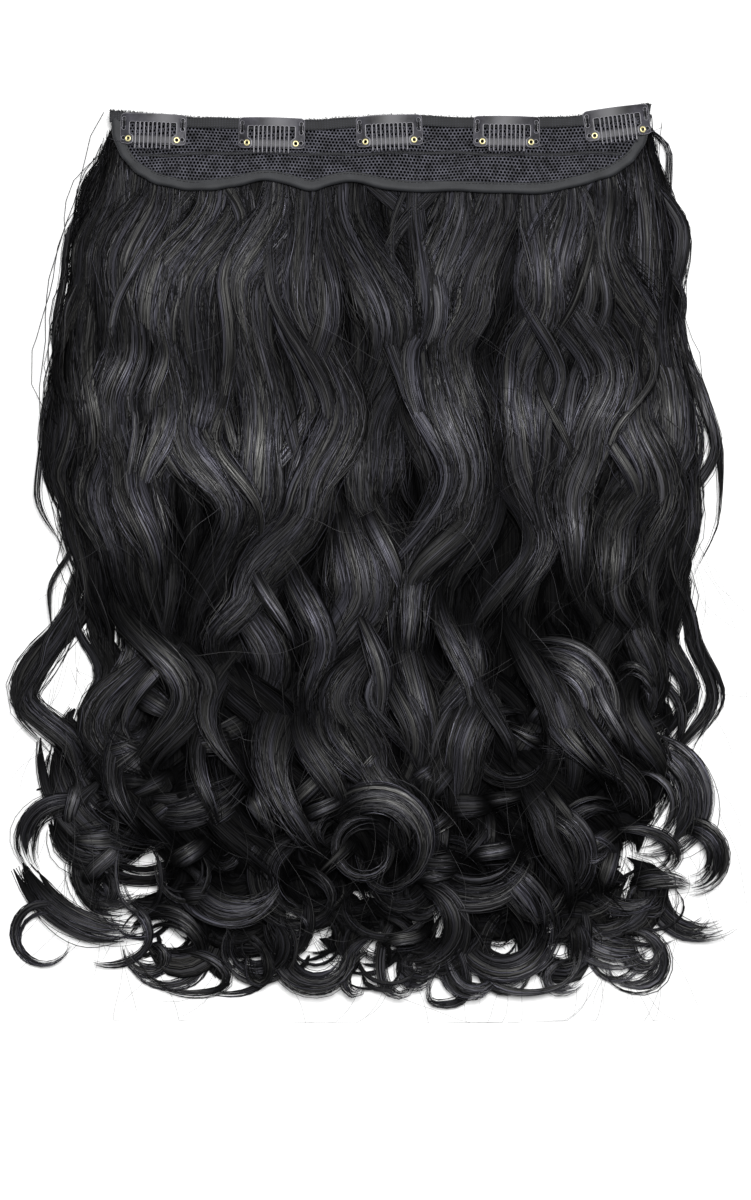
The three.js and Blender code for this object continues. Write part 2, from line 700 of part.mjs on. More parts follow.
// The lock swings from bend to bend, over the pile on one swing and under on the next
function lockBody(row) {
  const thickness = strandThickness(row);
  const path = [];
  for (let bend = 0; bend + 1 < row.down.length; bend += 1) {
    const drop = row.down[bend + 1] - row.down[bend];
    const steps = Math.max(1, Math.round((drop * hairFall) / lockStep));
    for (let i = bend ? 1 : 0; i <= steps; i += 1) {
      const t = i / steps;
      const x = lerp(row.across[bend], row.across[bend + 1], smoothstep(t, 0, 1)) * halfHair;
      const y = -lerp(row.down[bend], row.down[bend + 1], t) * hairFall;
      path.push(strandMiddle(x, y, row.level, crest * Math.sin(Math.PI * (bend + t)), thickness));
    }
  }
  return strand(path, row.width * lockWidth, thickness);
}

function ringletBody(row) {
  const thickness = strandThickness(row);
  const radius = row.radius * curlRadius;
  const arc = Math.abs(degToRad(row.sweep)) * radius;
  const steps = Math.max(4, Math.round(arc / Math.min(lockStep, curlStep * radius)));
  const path = [];
  for (let i = 0; i <= steps; i += 1) {
    const angle = degToRad(row.start + (row.sweep * i) / steps);
    const x = row.across * halfHair + radius * Math.cos(angle);
    const y = -row.down * hairFall + radius * Math.sin(angle);
    path.push(strandMiddle(x, y, lerp(row.from, row.to, i / steps), 0, thickness));
  }
  return strand(path, row.width * lockWidth, thickness);
}

// All the hair is one fused body; what its locks close in counts as hair
function buildHair() {
  const pieces = [matBody(), ...locks.map(lockBody), ...ringlets.map(ringletBody)];
  const fused = pieces.reduce((sum, piece) => sum.add(piece));
  const bodies = fused.decompose().sort((a, b) => b.volume() - a.volume());
  addMesh(part, 'hair', geometryOf(bodies[0]), 'hair');
}

buildNet();
buildBand();
buildBinding();
buildSeam();
buildCombs();
buildHair();

// The origin is the middle of the underside
part.updateMatrixWorld(true);
const box = new THREE.Box3().setFromObject(part, true);
const middle = box.getCenter(new THREE.Vector3());
const hairExtension = new THREE.Group();
part.position.set(-middle.x, -middle.y, -box.min.z);
hairExtension.add(part);

export default hairExtension;
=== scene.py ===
import math
import bpy
import numpy as np
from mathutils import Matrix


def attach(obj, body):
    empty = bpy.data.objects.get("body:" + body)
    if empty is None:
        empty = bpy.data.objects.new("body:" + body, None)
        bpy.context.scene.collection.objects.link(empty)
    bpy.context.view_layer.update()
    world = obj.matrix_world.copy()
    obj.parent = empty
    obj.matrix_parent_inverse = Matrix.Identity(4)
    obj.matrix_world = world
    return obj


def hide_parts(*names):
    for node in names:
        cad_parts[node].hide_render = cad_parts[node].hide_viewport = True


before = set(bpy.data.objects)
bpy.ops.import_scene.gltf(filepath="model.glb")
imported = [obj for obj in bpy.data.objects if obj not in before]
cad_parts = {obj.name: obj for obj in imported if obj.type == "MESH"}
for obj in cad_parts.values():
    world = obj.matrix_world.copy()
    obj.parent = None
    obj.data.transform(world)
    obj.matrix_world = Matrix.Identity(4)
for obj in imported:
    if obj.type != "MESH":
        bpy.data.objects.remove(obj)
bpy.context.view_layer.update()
bpy.ops.object.select_all(action="DESELECT")

# The part is drawn in millimetres from the middle of the band, as seen from above
mm = 0.001
placing = {"x": 4.973, "y": 213.308}
base = {"width": 264, "drop": 36, "bed": 12, "endSag": 3.5, "fitGap": 0.3, "net": 1, "tape": 1}
hair = {"width": 352, "fall": 434, "pile": 29, "lockWidth": 30, "curlRadius": 22}
halfBase = base["width"] / 2
halfHair = hair["width"] / 2
rng = np.random.default_rng(11)

# down, left, right, share of the pile
matRows = [
    (0, -0.7, 0.72, 1), (0.08, -0.77, 0.77, 1), (0.2, -0.81, 0.8, 0.7), (0.3, -0.86, 0.83, 0.64),
    (0.42, -0.84, 0.84, 0.6), (0.5, -0.79, 0.84, 0.58), (0.58, -0.74, 0.8, 0.56), (0.68, -0.75, 0.77, 0.5),
    (0.76, -0.77, 0.74, 0.46), (0.84, -0.7, 0.7, 0.42), (0.9, -0.6, 0.6, 0.36), (0.945, -0.45, 0.5, 0.3),
]
# down, top as a share of the pile
pileRows = [(0, 0.36), (0.08, 0.42), (0.3, 0.64), (0.6, 0.76), (0.76, 0.96), (0.88, 0.92), (1, 0.5)]

# down, left edge, right edge of the curtain
edgeRows = [
    (0, -0.74, 0.758), (0.03, -0.77, 0.776), (0.09, -0.818, 0.804), (0.16, -0.84, 0.825), (0.25, -0.885, 0.83),
    (0.31, -0.91, 0.86), (0.38, -0.93, 0.885), (0.45, -0.88, 0.89), (0.52, -0.84, 0.85), (0.58, -0.8, 0.83),
]

# bends down the fall, bends across, width, level
lockRows = [
    ([0.04, 0.16, 0.32, 0.405, 0.49, 0.56], [-0.73, -0.82, -0.9, -0.92, -0.83, -0.82], 0.5, 0.5),
    ([0.46, 0.54, 0.645, 0.71, 0.8], [-0.78, -0.85, -0.985, -0.84, -0.66], 0.6, 0.55),
    ([0.08, 0.16, 0.26, 0.36, 0.42, 0.5, 0.58], [-0.72, -0.78, -0.8, -0.77, -0.81, -0.74, -0.7], 0.7, 0.9),
    ([0.08, 0.17, 0.26, 0.32, 0.4, 0.5, 0.6], [-0.62, -0.7, -0.68, -0.73, -0.69, -0.61, -0.57], 0.9, 1),
    ([0.09, 0.22, 0.33, 0.42, 0.52], [-0.56, -0.63, -0.58, -0.65, -0.6], 0.7, 0.92),
    ([0.09, 0.19, 0.35, 0.44, 0.56], [-0.46, -0.6, -0.53, -0.4, -0.54], 1, 1),
    ([0.09, 0.19, 0.31, 0.36, 0.45], [-0.38, -0.51, -0.48, -0.5, -0.41], 0.8, 0.92),
    ([0.09, 0.19, 0.33, 0.41, 0.55], [-0.28, -0.39, -0.32, -0.33, -0.51], 1.1, 1),
    ([0.09, 0.19, 0.33, 0.43, 0.53, 0.585, 0.69], [-0.2, -0.21, -0.1, -0.19, -0.36, -0.46, -0.34], 1.1, 1),
    ([0.09, 0.24, 0.36, 0.42, 0.5, 0.58], [-0.1, 0.04, -0.02, -0.03, 0.06, 0], 1.3, 0.94),
    ([0.09, 0.21, 0.36, 0.42, 0.49], [0.1, 0.13, -0.01, -0.02, 0.06], 0.5, 1),
    ([0.09, 0.2, 0.3, 0.4, 0.54, 0.6, 0.68], [0.22, 0.15, 0.17, 0.24, 0.09, 0.08, 0.17], 1.1, 1),
    ([0.09, 0.2, 0.26, 0.36, 0.44, 0.53], [0.34, 0.26, 0.2, 0.25, 0.25, 0.12], 1, 0.94),
    ([0.09, 0.2, 0.3, 0.37, 0.47, 0.57], [0.44, 0.46, 0.38, 0.4, 0.46, 0.34], 1, 0.9),
    ([0.09, 0.17, 0.29, 0.36, 0.43, 0.5, 0.6], [0.54, 0.5, 0.64, 0.58, 0.53, 0.54, 0.62], 0.9, 1),
    ([0.08, 0.14, 0.3, 0.36, 0.47, 0.53, 0.62], [0.64, 0.62, 0.79, 0.8, 0.65, 0.64, 0.8], 1.1, 1),
    ([0.06, 0.15, 0.33, 0.42, 0.5, 0.6], [0.72, 0.73, 0.7, 0.78, 0.71, 0.79], 0.9, 0.9),
    ([0.03, 0.12, 0.2, 0.3, 0.42, 0.48, 0.54], [0.73, 0.78, 0.81, 0.84, 0.87, 0.87, 0.83], 0.6, 0.5),
    ([0.52, 0.57, 0.645, 0.73], [0.82, 0.86, 0.925, 0.8], 0.3, 0.4),
    ([0.42, 0.53, 0.61], [-0.1, -0.045, -0.14], 1.3, 1),
    ([0.56, 0.65, 0.72, 0.78], [0.02, -0.11, -0.02, 0.1], 1, 0.95),
    ([0.48, 0.59, 0.66], [-0.25, -0.15, -0.2], 0.7, 0.9),
    ([0.56, 0.68, 0.77], [-0.57, -0.78, -0.62], 0.8, 0.9),
    ([0.56, 0.62, 0.67], [0.24, 0.25, 0.16], 0.7, 1),
    ([0.62, 0.71, 0.78], [0.3, 0.23, 0.22], 0.9, 0.9),
    ([0.74, 0.79, 0.86], [0.4, 0.46, 0.53], 0.6, 0.9),
]
# Looser locks along both sides
sideRows = [
    ([0.5, 0.56, 0.62, 0.68, 0.75], [-0.7, -0.79, -0.73, -0.81, -0.7], 0.5, 0.6),
    ([0.46, 0.52, 0.59, 0.66, 0.74], [-0.66, -0.71, -0.66, -0.74, -0.66], 0.7, 0.75),
    ([0.46, 0.52, 0.58, 0.64, 0.72], [0.78, 0.84, 0.79, 0.86, 0.77], 0.5, 0.6),
    ([0.44, 0.5, 0.56, 0.63, 0.7], [0.72, 0.77, 0.7, 0.76, 0.72], 0.7, 0.75),
]
# down, across, radius, start, sweep, width, from level, to level
ringletRows = [
    (0.812, 0, 1.04, 150, -235, 0.55, 1, 0.85), (0.815, -0.04, 0.62, 60, 310, 0.25, 0.9, 0.8),
    (0.85, -0.07, 0.85, 20, 290, 0.6, 0.5, 0.45), (0.845, 0.04, 0.7, 160, -270, 0.5, 0.5, 0.45),
    (0.66, 0.46, 1.12, 105, -200, 0.65, 0.95, 0.95),
    (0.64, -0.53, 2.5, -107, 52, 0.8, 0.85, 0.9), (0.83, -0.49, 2, 54, -36, 0.8, 0.9, 0.8),
    (0.715, -0.6, 2.15, 172, 98, 0.75, 0.75, 0.8), (0.815, -0.87, 0.92, 65, 160, 0.5, 0.75, 0.6),
    (0.795, -0.67, 2.42, 197, 80, 0.55, 0.6, 0.75), (0.915, -0.925, 0.68, 35, 305, 0.2, 0.55, 0.3),
    (0.935, -0.59, 0.82, 150, -320, 0.36, 0.75, 0.4), (0.94, -0.433, 1.06, 30, -140, 0.18, 0.6, 0.3),
    (0.925, -0.34, 0.62, 60, -300, 0.4, 0.8, 0.5), (0.93, -0.17, 0.78, 175, 190, 0.45, 0.7, 0.75),
    (0.905, 0.1, 0.9, 80, -200, 0.6, 0.85, 0.6), (0.9, 0.35, 1, 185, 200, 0.55, 0.7, 0.8),
    (0.94, 0.25, 1.87, 72, -52, 0.6, 0.9, 0.7), (0.94, 0.39, 1.36, 32, -50, 0.55, 0.8, 0.5),
    (0.945, 0.705, 0.68, 120, -300, 0.26, 0.7, 0.4), (0.875, 0.69, 1.22, 190, 110, 0.55, 0.75, 0.6),
    (0.86, 0.905, 1.1, 165, 128, 0.45, 0.7, 0.4), (0.768, 0.72, 1.14, 88, -180, 0.75, 0.9, 0.75),
    (0.83, 0.855, 0.68, 100, -190, 0.45, 0.8, 0.7), (0.93, 0.83, 1.6, 128, -50, 0.5, 0.7, 0.7),
    (0.83, -0.38, 1.1, 200, 130, 0.6, 0.8, 0.85), (0.85, -0.2, 0.9, 100, 170, 0.5, 0.85, 0.75),
    (0.8, 0.28, 1.3, 220, 110, 0.6, 0.8, 0.85), (0.83, 0.44, 1, 90, -150, 0.5, 0.85, 0.8),
    (0.78, 0.6, 1.1, 100, -110, 0.5, 0.9, 0.8), (0.775, -0.77, 0.95, 190, 150, 0.75, 0.55, 0.6),
    (0.84, -0.72, 0.8, 120, 200, 0.6, 0.6, 0.5),
]

# The base: outline rows are place, rise and drop, as shares of half the width and of the depth
outlineRows = [
    (-0.99, 0.09, 0.1), (-0.965, 0.09, 0.38), (-0.915, 0.08, 0.68), (-0.82, 0.05, 0.88), (-0.69, 0.01, 0.99),
    (-0.55, -0.01, 0.94), (-0.4, -0.03, 0.86), (-0.25, -0.04, 0.98), (-0.11, 0, 0.88), (0.08, 0.03, 0.99),
    (0.33, 0, 1.01), (0.6, 0, 1.01), (0.79, 0.05, 0.87), (0.9, 0.12, 0.68), (0.975, 0.18, 0.39), (1, 0.17, 0.04),
]


# Heights of the pile
def ease(t):
    t = np.clip(t, 0, 1)
    return t * t * (3 - 2 * t)


def column(rows, down, which):
    downs = np.array([r[0] for r in rows])
    values = np.array([r[which] for r in rows])
    at = np.clip(down, downs[0], downs[-1])
    i = np.clip(np.searchsorted(downs, at, side="left"), 1, len(downs) - 1)
    t = ease((at - downs[i - 1]) / (downs[i] - downs[i - 1]))
    return values[i - 1] + (values[i] - values[i - 1]) * t


def bedHeight(x):
    return base["bed"] - base["endSag"] * np.minimum(1, (x / halfBase) ** 2)


def hairTop(x, y):
    down = -y / hair["fall"]
    inside = np.minimum(x - column(matRows, down, 1) * halfHair, column(matRows, down, 2) * halfHair - x)
    crown = 0.5 + 0.5 * ease((inside + 10) / 40)
    free = column(pileRows, down, 1) * hair["pile"] * crown
    beyond = np.maximum(0, -y - base["drop"] - 2 * base["fitGap"])
    return np.minimum(free, bedHeight(x) + beyond / 2)


# Meshes of many closed tubes
def newBatch():
    return {"co": [], "uv": [], "paintedShadeAndTone": [], "quads": [], "caps": [], "count": 0}


def addRings(batch, co, uv, paintedShadeAndTone):
    tubes, rings, sides = co.shape[:3]
    index = batch["count"] + np.arange(tubes * rings * sides).reshape(tubes, rings, sides)
    a, d = index[:, :-1], index[:, 1:]
    b, c = np.roll(a, -1, axis=2), np.roll(d, -1, axis=2)
    batch["quads"].append(np.stack([a, d, c, b], axis=-1).reshape(-1, 4))
    batch["caps"] += [index[:, 0], index[:, -1, ::-1]]
    batch["co"].append(co.reshape(-1, 3))
    batch["uv"].append(uv.reshape(-1, 2))
    batch["paintedShadeAndTone"].append(np.broadcast_to(paintedShadeAndTone, co.shape[:3]).reshape(-1))
    batch["count"] += tubes * rings * sides


def linked(name, mesh):
    piece = bpy.data.objects.new(name, mesh)
    bpy.context.collection.objects.link(piece)
    return piece


def enrol(piece, slotName, *replaced):
    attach(piece, "root")
    if replaced:
        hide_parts(*replaced)


def pickOnly(*pieces):
    bpy.ops.object.select_all(action="DESELECT")
    for piece in pieces:
        piece.select_set(True)
    bpy.context.view_layer.objects.active = pieces[0]


def makePiece(name, batch, material, *replaced, slotName="hair"):
    co = np.concatenate(batch["co"]) + [placing["x"], placing["y"], 0]
    uv = np.concatenate(batch["uv"])
    quads = np.concatenate(batch["quads"])
    loops = [quads.ravel()]
    sizes = [np.full(len(quads), 4)]
    for cap in batch["caps"]:
        loops.append(cap.ravel())
        sizes.append(np.full(len(cap), cap.shape[1]))
    loops, sizes = np.concatenate(loops), np.concatenate(sizes)
    mesh = bpy.data.meshes.new(name)
    mesh.vertices.add(len(co))
    mesh.vertices.foreach_set("co", (co * mm).ravel())
    mesh.loops.add(len(loops))
    mesh.loops.foreach_set("vertex_index", loops)
    mesh.polygons.add(len(sizes))
    mesh.polygons.foreach_set("loop_start", np.concatenate([[0], np.cumsum(sizes)[:-1]]))
    mesh.polygons.foreach_set("use_smooth", np.ones(len(sizes), dtype=bool))
    mesh.uv_layers.new(name="UVMap").data.foreach_set("uv", uv[loops].ravel())
    paintedShadeAndTone = mesh.attributes.new("paintedShadeAndTone", "FLOAT", "POINT")
    paintedShadeAndTone.data.foreach_set("value", np.concatenate(batch["paintedShadeAndTone"]).astype(np.float32))
    mesh.update(calc_edges=True)
    mesh.validate()
    mesh.materials.append(material)
    piece = linked(name, mesh)
    enrol(piece, slotName, *replaced)
    print(name, "triangles", int((sizes - 2).sum()))
    return piece


# Frames along paths: co is (paths, points, 3)
def framesOf(co):
    run = np.gradient(co, axis=1)
    run /= np.linalg.norm(run, axis=2, keepdims=True) + 1e-9
    side = np.stack([run[..., 1], -run[..., 0], np.zeros(run.shape[:2])], axis=-1)
    side /= np.linalg.norm(side, axis=2, keepdims=True) + 1e-9
    return side, np.cross(side, run)


def ringOf(sides, turn=0):
    angle = (np.arange(sides) / sides) * 2 * np.pi + turn
    return np.stack([np.cos(angle), np.sin(angle)], axis=-1)


# Painted shade and highlight: hair deep below the top of the pile and hair under the base is darker, as if in shadow,
# hair near the roots is darker too, and steep hair is darker than flat hair, a painted highlight on the flat runs
def depthShade(co, run):
    down = -co[..., 1] / hair["fall"]
    depth = np.maximum(0, hairTop(co[..., 0], co[..., 1]) - co[..., 2]) * (1 - 0.45 * ease((down - 0.84) / 0.1))
    level = np.exp(-depth / shading["depth"])
    level = level * (shading["root"] + (1 - shading["root"]) * ease((down - 0.1) / 0.15))
    # Hair under the base is darker: painted shade
    places, drops = [r[0] for r in outlineRows], [r[2] for r in outlineRows]
    covered = np.interp(co[..., 0] / halfBase, places, drops, left=-1, right=-1)
    level = level * np.where(-co[..., 1] < covered * base["drop"] - 3, shading["covered"], 1)
    # Steep hair is darker than flat hair: a painted highlight on flat runs
    return level * (1 - run[..., 2] ** 2) ** shading["steep"]


def addTubes(batch, co, wide, high, section, across, along, tone):
    side, up = framesOf(co)
    u = (section[:, 0] * wide[..., None])[..., None]
    v = (section[:, 1] * high[..., None])[..., None]
    rings = co[:, :, None, :] + u * side[:, :, None, :] + v * up[:, :, None, :]
    rings[..., 2] = np.maximum(rings[..., 2], 0.15)
    uvAcross = across[..., None] + u[..., 0]
    uvAlong = np.broadcast_to(along[..., None], uvAcross.shape)
    run = np.cross(up, side)[:, :, None, :]
    # Painted shade and highlight of each place, times the random tone of the lock
    paintedShadeAndTone = depthShade(rings, run) * tone[..., None]
    # Cores are darker at their sides: painted shade
    if len(section) > 3:
        paintedShadeAndTone = paintedShadeAndTone * (1 - shading["edge"] * np.abs(section[:, 0]) ** 3)
    addRings(batch, rings, np.stack([uvAcross, uvAlong], axis=-1), paintedShadeAndTone)


# Value of rows at fractional places
def sample(values, at):
    place = np.clip(at, 0, 1) * (len(values) - 1)
    i = np.minimum(place.astype(int), len(values) - 2)
    t = (place - i)
    if values.ndim == 2:
        t = t[..., None]
    return values[i] * (1 - t) + values[i + 1] * t


# Length gone at each point of a curve
def lengthAlong(points):
    return np.concatenate([[0], np.cumsum(np.linalg.norm(np.diff(points, axis=0), axis=1))])


def evenPath(path, step):
    gone = lengthAlong(path)
    count = max(4, int(round(gone[-1] / step)) + 1)
    at = np.linspace(0, gone[-1], count)
    return np.stack([np.interp(at, gone, path[:, i]) for i in range(3)], axis=-1), gone[-1]


# Strengths of the painted shade: deep hair, steep hair (a painted highlight on flat hair), lock sides, loose strands,
# roots, diving ends and hair under the base
shading = {"depth": 4.6, "steep": 5, "edge": 0.8, "loose": 0.5, "root": 0.53, "diving": 0.22, "covered": 0.15}
lockLook = {
    "strandRadius": 0.2, "strandStep": 10, "curlStep": 5.5, "wander": 0.2, "loose": 0.2,
    "coreStep": 5, "coreSides": 8,
}


# A lock: a solid core and strands that lie on it and beside it; the path runs along its top
def addLock(cores, strands, path, width, thickness, count, step, rootPart=0.5, tipPart=0.12, rootHigh=0.4,
            rootDive=0, tipDive=0, tone=1, taper=0.4, coreEnd=0.93, corePart=0.86, rootRun=0.25, blunt=False):
    corePath, length = evenPath(path, lockLook["coreStep"])
    place = np.linspace(0, 1, len(corePath))
    tip = tipPart + (1 - tipPart) * ease((1 - place) / taper)
    full = np.minimum(rootPart + (1 - rootPart) * ease(place / rootRun), tip)
    swell = 1 + 0.14 * np.sin(2 * np.pi * (place * length / 70 + rng.uniform()))
    wide = full * swell * width / 2
    high = np.minimum(rootHigh + (1 - rootHigh) * ease(place / 0.3), tip ** 0.6) * thickness / 2
    corePath = corePath.copy()
    dive = rootDive * (1 - ease(place / (rootRun + 0.05))) + tipDive * ease((place - 0.7) / 0.3)
    corePath[:, 2] = np.maximum(corePath[:, 2] - high - dive, high + 0.2)
    tone = tone * rng.uniform(0.6, 1.25)
    # Ends that dive under other locks get painted shade, as if in their shadow
    paintedDiveShade = np.ones(len(place))
    if rootDive:
        paintedDiveShade = paintedDiveShade * (shading["diving"] + (1 - shading["diving"]) * ease(place / (rootRun + 0.07)))
    if tipDive:
        paintedDiveShade = paintedDiveShade * (shading["diving"] + (1 - shading["diving"]) * ease((1 - place) / 0.25))
    key = rng.uniform(0, 900)
    keep = max(4, int(len(place) * coreEnd))
    along = place / place[keep - 1]
    point = (0.08 + 0.92 * ease((1 - along) / 0.3)) * (1 if blunt else 0.3 + 0.7 * ease(along / 0.12)) * corePart
    addTubes(cores, corePath[None, :keep], (wide * point)[None, :keep], (high * np.sqrt(point))[None, :keep],
             ringOf(lockLook["coreSides"]), np.full((1, keep), key), (place * length)[None, :keep],
             (tone * paintedDiveShade)[None, :keep])
    side, up = framesOf(corePath[None])
    side, up = side[0], up[0]
    points = max(5, int(round(length / step)) + 1)
    begin = rng.uniform(0, 0.1, (count, 1))
    end = rng.uniform(0.84, 1, (count, 1))
    at = begin + (end - begin) * np.linspace(0, 1, points)
    u = rng.uniform(-1, 1, (count, 1))
    u = np.sign(u) * np.abs(u) ** 0.7
    turns = length / rng.uniform(60, 160, (count, 1))
    u = u + lockLook["wander"] * np.sin(2 * np.pi * (turns * at + rng.uniform(0, 1, (count, 1))))
    loose = rng.uniform(0, 1, (count, 1)) < lockLook["loose"]
    u = np.where(loose, u * rng.uniform(1.1, 1.6, (count, 1)), np.clip(u, -1.04, 1.04))
    lift = rng.uniform(0.85, 1.1, (count, 1))
    v = np.sqrt(np.clip(1 - u ** 2, 0.03, 1)) * lift
    co = sample(corePath, at) + (u * sample(wide, at))[..., None] * sample(side, at) \
        + (v * sample(high, at) + 0.1)[..., None] * sample(up, at)
    co[..., 2] = np.maximum(co[..., 2], 0.4)
    thin = np.minimum(1, 0.35 + 3 * (1 - np.linspace(0, 1, points)))
    radius = lockLook["strandRadius"] * rng.uniform(0.75, 1.2, (count, 1)) * thin
    # Strands get the lock's painted shade, random tone, and more painted shade towards the lock's sides
    addTubes(strands, co, radius, radius, ringOf(3, rng.uniform(0, 6)),
             rng.uniform(0, 900, (count, 1)) + 0 * at, at * length,
             tone * sample(paintedDiveShade, at) * rng.uniform(0.5, 1.45, (count, 1)) ** 2
             * (1 - shading["loose"] * np.abs(np.clip(u, -1, 1)) ** 3))


# Where a traced lock lies at each place down the fall, and how it swings over and under
def traceAt(row, down):
    downs, acrosses = np.array(row[0]), np.array(row[1])
    i = np.clip(np.searchsorted(downs, down, side="right") - 1, 0, len(downs) - 2)
    t = np.clip((down - downs[i]) / (downs[i + 1] - downs[i]), 0, 1)
    steady = np.clip((downs[i + 1] - downs[i]) / 0.12, 0.2, 1)
    return acrosses[i] + (acrosses[i + 1] - acrosses[i]) * ease(t), np.sin(np.pi * (i + t)) * steady


def topPath(x, y, level, swing):
    low = hair["fall"] - 14
    y = np.where(-y > low, -low - 13 * np.tanh((-y - low) / 18), y)
    top = hairTop(x, y)
    level = 1 - (1 - level) * ease((-y / hair["fall"] - 0.03) / 0.1)
    z = np.minimum(top * level + swing, top + 4)
    under = -y < base["drop"] + 1
    return np.stack([x, y, np.where(under, np.minimum(z, bedHeight(x) - 0.1), z)], axis=-1)


def curlPath(down, across, radius, start, sweep, fromLevel, toLevel, tighten=0.2, squash=1.0, drift=(0, 0)):
    arc = abs(math.radians(sweep)) * radius
    t = np.linspace(0, 1, max(8, int(arc / 2.5)))
    angle = np.radians(start + sweep * t)
    r = radius * (1 + tighten / 2 - tighten * t)
    x = across * halfHair + r * np.cos(angle) * squash + drift[0] * t
    y = -down * hair["fall"] + r * np.sin(angle) / squash + drift[1] * t
    level = fromLevel + (toLevel - fromLevel) * t
    return topPath(x, y, level, 3 * np.sin(angle * 1.5))


# A corkscrew whose axis lies down the fall, turned by the heading
def corkscrewPath(down, across, radius, heading, pitch, turns, level):
    t = np.linspace(0, 1, int(40 * turns))
    angle = 2 * np.pi * turns * t
    along, aside = pitch * turns * (t - 0.5), radius * np.cos(angle + level * 20)
    way = np.radians(heading)
    x = across * halfHair + along * np.sin(way) + aside * np.cos(way)
    y = -down * hair["fall"] - along * np.cos(way) + aside * np.sin(way)
    height = level * (0.55 + 0.45 * np.sin(angle + level * 20))
    return topPath(x, y, height, 0)


# Materials: sockets are linked to a node's inputs, and other values are put in
def feed(node, inputs):
    for key, value in inputs.items():
        if isinstance(value, bpy.types.NodeSocket):
            node.id_data.links.new(value, node.inputs[key])
        else:
            node.inputs[key].default_value = value


# Adds a node and hands back one of its outputs
def socket(tree, kind, output, inputs, **settings):
    node = tree.nodes.new("ShaderNode" + kind)
    for key, value in settings.items():
        setattr(node, key, value)
    feed(node, inputs)
    return node.outputs[output]


def multiply(tree, a, b):
    return socket(tree, "Math", "Value", {0: a, 1: b}, operation="MULTIPLY")


def mixColour(tree, factor, a, b):
    return socket(tree, "Mix", "Result", {"Factor": factor, "A": a, "B": b}, data_type="RGBA")


def newMaterial(name, inputs):
    material = bpy.data.materials.new(name)
    material.use_nodes = True
    shader = material.node_tree.nodes["Principled BSDF"]
    feed(shader, inputs)
    return material, material.node_tree, shader


# Streaks along each strand; the painted shade and tone of each place dim its colour, and deep places are rougher
def hairMaterial(name, look):
    material, tree, shader = newMaterial(name, {"Specular IOR Level": look["gloss"], "Metallic": look["sheen"]})
    uv = socket(tree, "UVMap", "UV", {}, uv_map="UVMap")
    stretch = socket(tree, "Mapping", "Vector", {"Vector": uv, "Scale": (look["across"], look["along"], 1)})
    noise = socket(tree, "TexNoise", "Fac", {"Vector": stretch, "Scale": 1, "Detail": 2.5, "Roughness": 0.9},
                   noise_dimensions="2D")
    streak = socket(tree, "MapRange", "Result", {
        "Value": noise, "From Min": look["faint"], "From Max": look["bright"], "To Min": look["streak"]})
    paintedShadeAndTone = socket(tree, "Attribute", "Fac", {}, attribute_name="paintedShadeAndTone")
    patch = socket(tree, "TexNoise", "Fac", {"Vector": stretch, "Scale": look["hue"], "Detail": 2},
                   noise_dimensions="2D")
    spread = socket(tree, "MapRange", "Result", {"Value": patch, "From Min": 0.4, "From Max": 0.6})
    hue = mixColour(tree, spread, (*look["light"], 1), (*look["warm"], 1))
    rough = {"Value": paintedShadeAndTone, "To Min": look["deepRoughness"], "To Max": look["roughness"]}
    bump = {"Height": noise, "Strength": look["bump"], "Distance": look["groove"]}
    feed(shader, {
        "Base Color": mixColour(tree, multiply(tree, paintedShadeAndTone, streak), (*look["dark"], 1), hue),
        "Roughness": socket(tree, "MapRange", "Result", rough),
        "Normal": socket(tree, "Bump", "Normal", bump),
    })
    return material


fibreLook = {
    "dark": (0.001, 0.001, 0.0012), "light": (0.141, 0.139, 0.174),
    "warm": (0.142, 0.141, 0.136), "gloss": 0.14, "sheen": 0.42, "roughness": 0.42,
    "deepRoughness": 0.7, "across": 1.25, "along": 0.014, "hue": 0.14, "streak": 0.02,
    "faint": 0.42, "bright": 0.65, "bump": 1, "groove": 0.0006,
}
fibre = hairMaterial("fibre", fibreLook)
# A darker, duller copy of the hair material for hair that lies low: painted shade
paintedShadeFibre = hairMaterial("paintedShadeFibre", {
    **fibreLook, "gloss": 0.05, "light": (0.05, 0.0495, 0.058), "warm": (0.052, 0.051, 0.048)})
strayFibre = hairMaterial("strayFibre", {
    **fibreLook, "sheen": 0.1, "light": (0.09, 0.089, 0.097), "warm": (0.08, 0.079, 0.079)})

# The bed of hair that the locks lie on, with painted shade: it is coloured as if in shadow
bedLook = {"rows": 60, "columns": 44, "sink": 2.0}


def buildBed():
    batch = newBatch()
    down = np.linspace(0.004, 0.865, bedLook["rows"])
    place = np.linspace(0, 1, bedLook["columns"])
    narrow = (0.93 + 0.03 * np.sin(down * 55) - 0.35 * ease((down - 0.78) / 0.08))[:, None]
    left = column(matRows, down, 1)[:, None] * halfHair * narrow
    right = column(matRows, down, 2)[:, None] * halfHair * narrow
    x = left + (right - left) * place
    y = np.broadcast_to(-down[:, None] * hair["fall"], x.shape)
    edge = np.minimum(place, 1 - place) * 8
    top = hairTop(x, y) * column(matRows, down, 3)[:, None]
    under = down[:, None] * hair["fall"] < base["drop"] + 6
    z = np.where(under, top - 3.5, top * 0.8 - bedLook["sink"]) * ease(0.35 + edge)
    top = np.stack([x, y, np.maximum(z, 1)], axis=-1)
    low = np.stack([x, y, np.full(x.shape, 0.3)], axis=-1)[:, ::-1]
    co = np.concatenate([low, top], axis=1)[None, :, ::-1]
    # The whole bed gets a painted shade of 0.1
    addRings(batch, co, co[..., :2], 0.1)
    makePiece("hair_bed", batch, paintedShadeFibre)


buildBed()

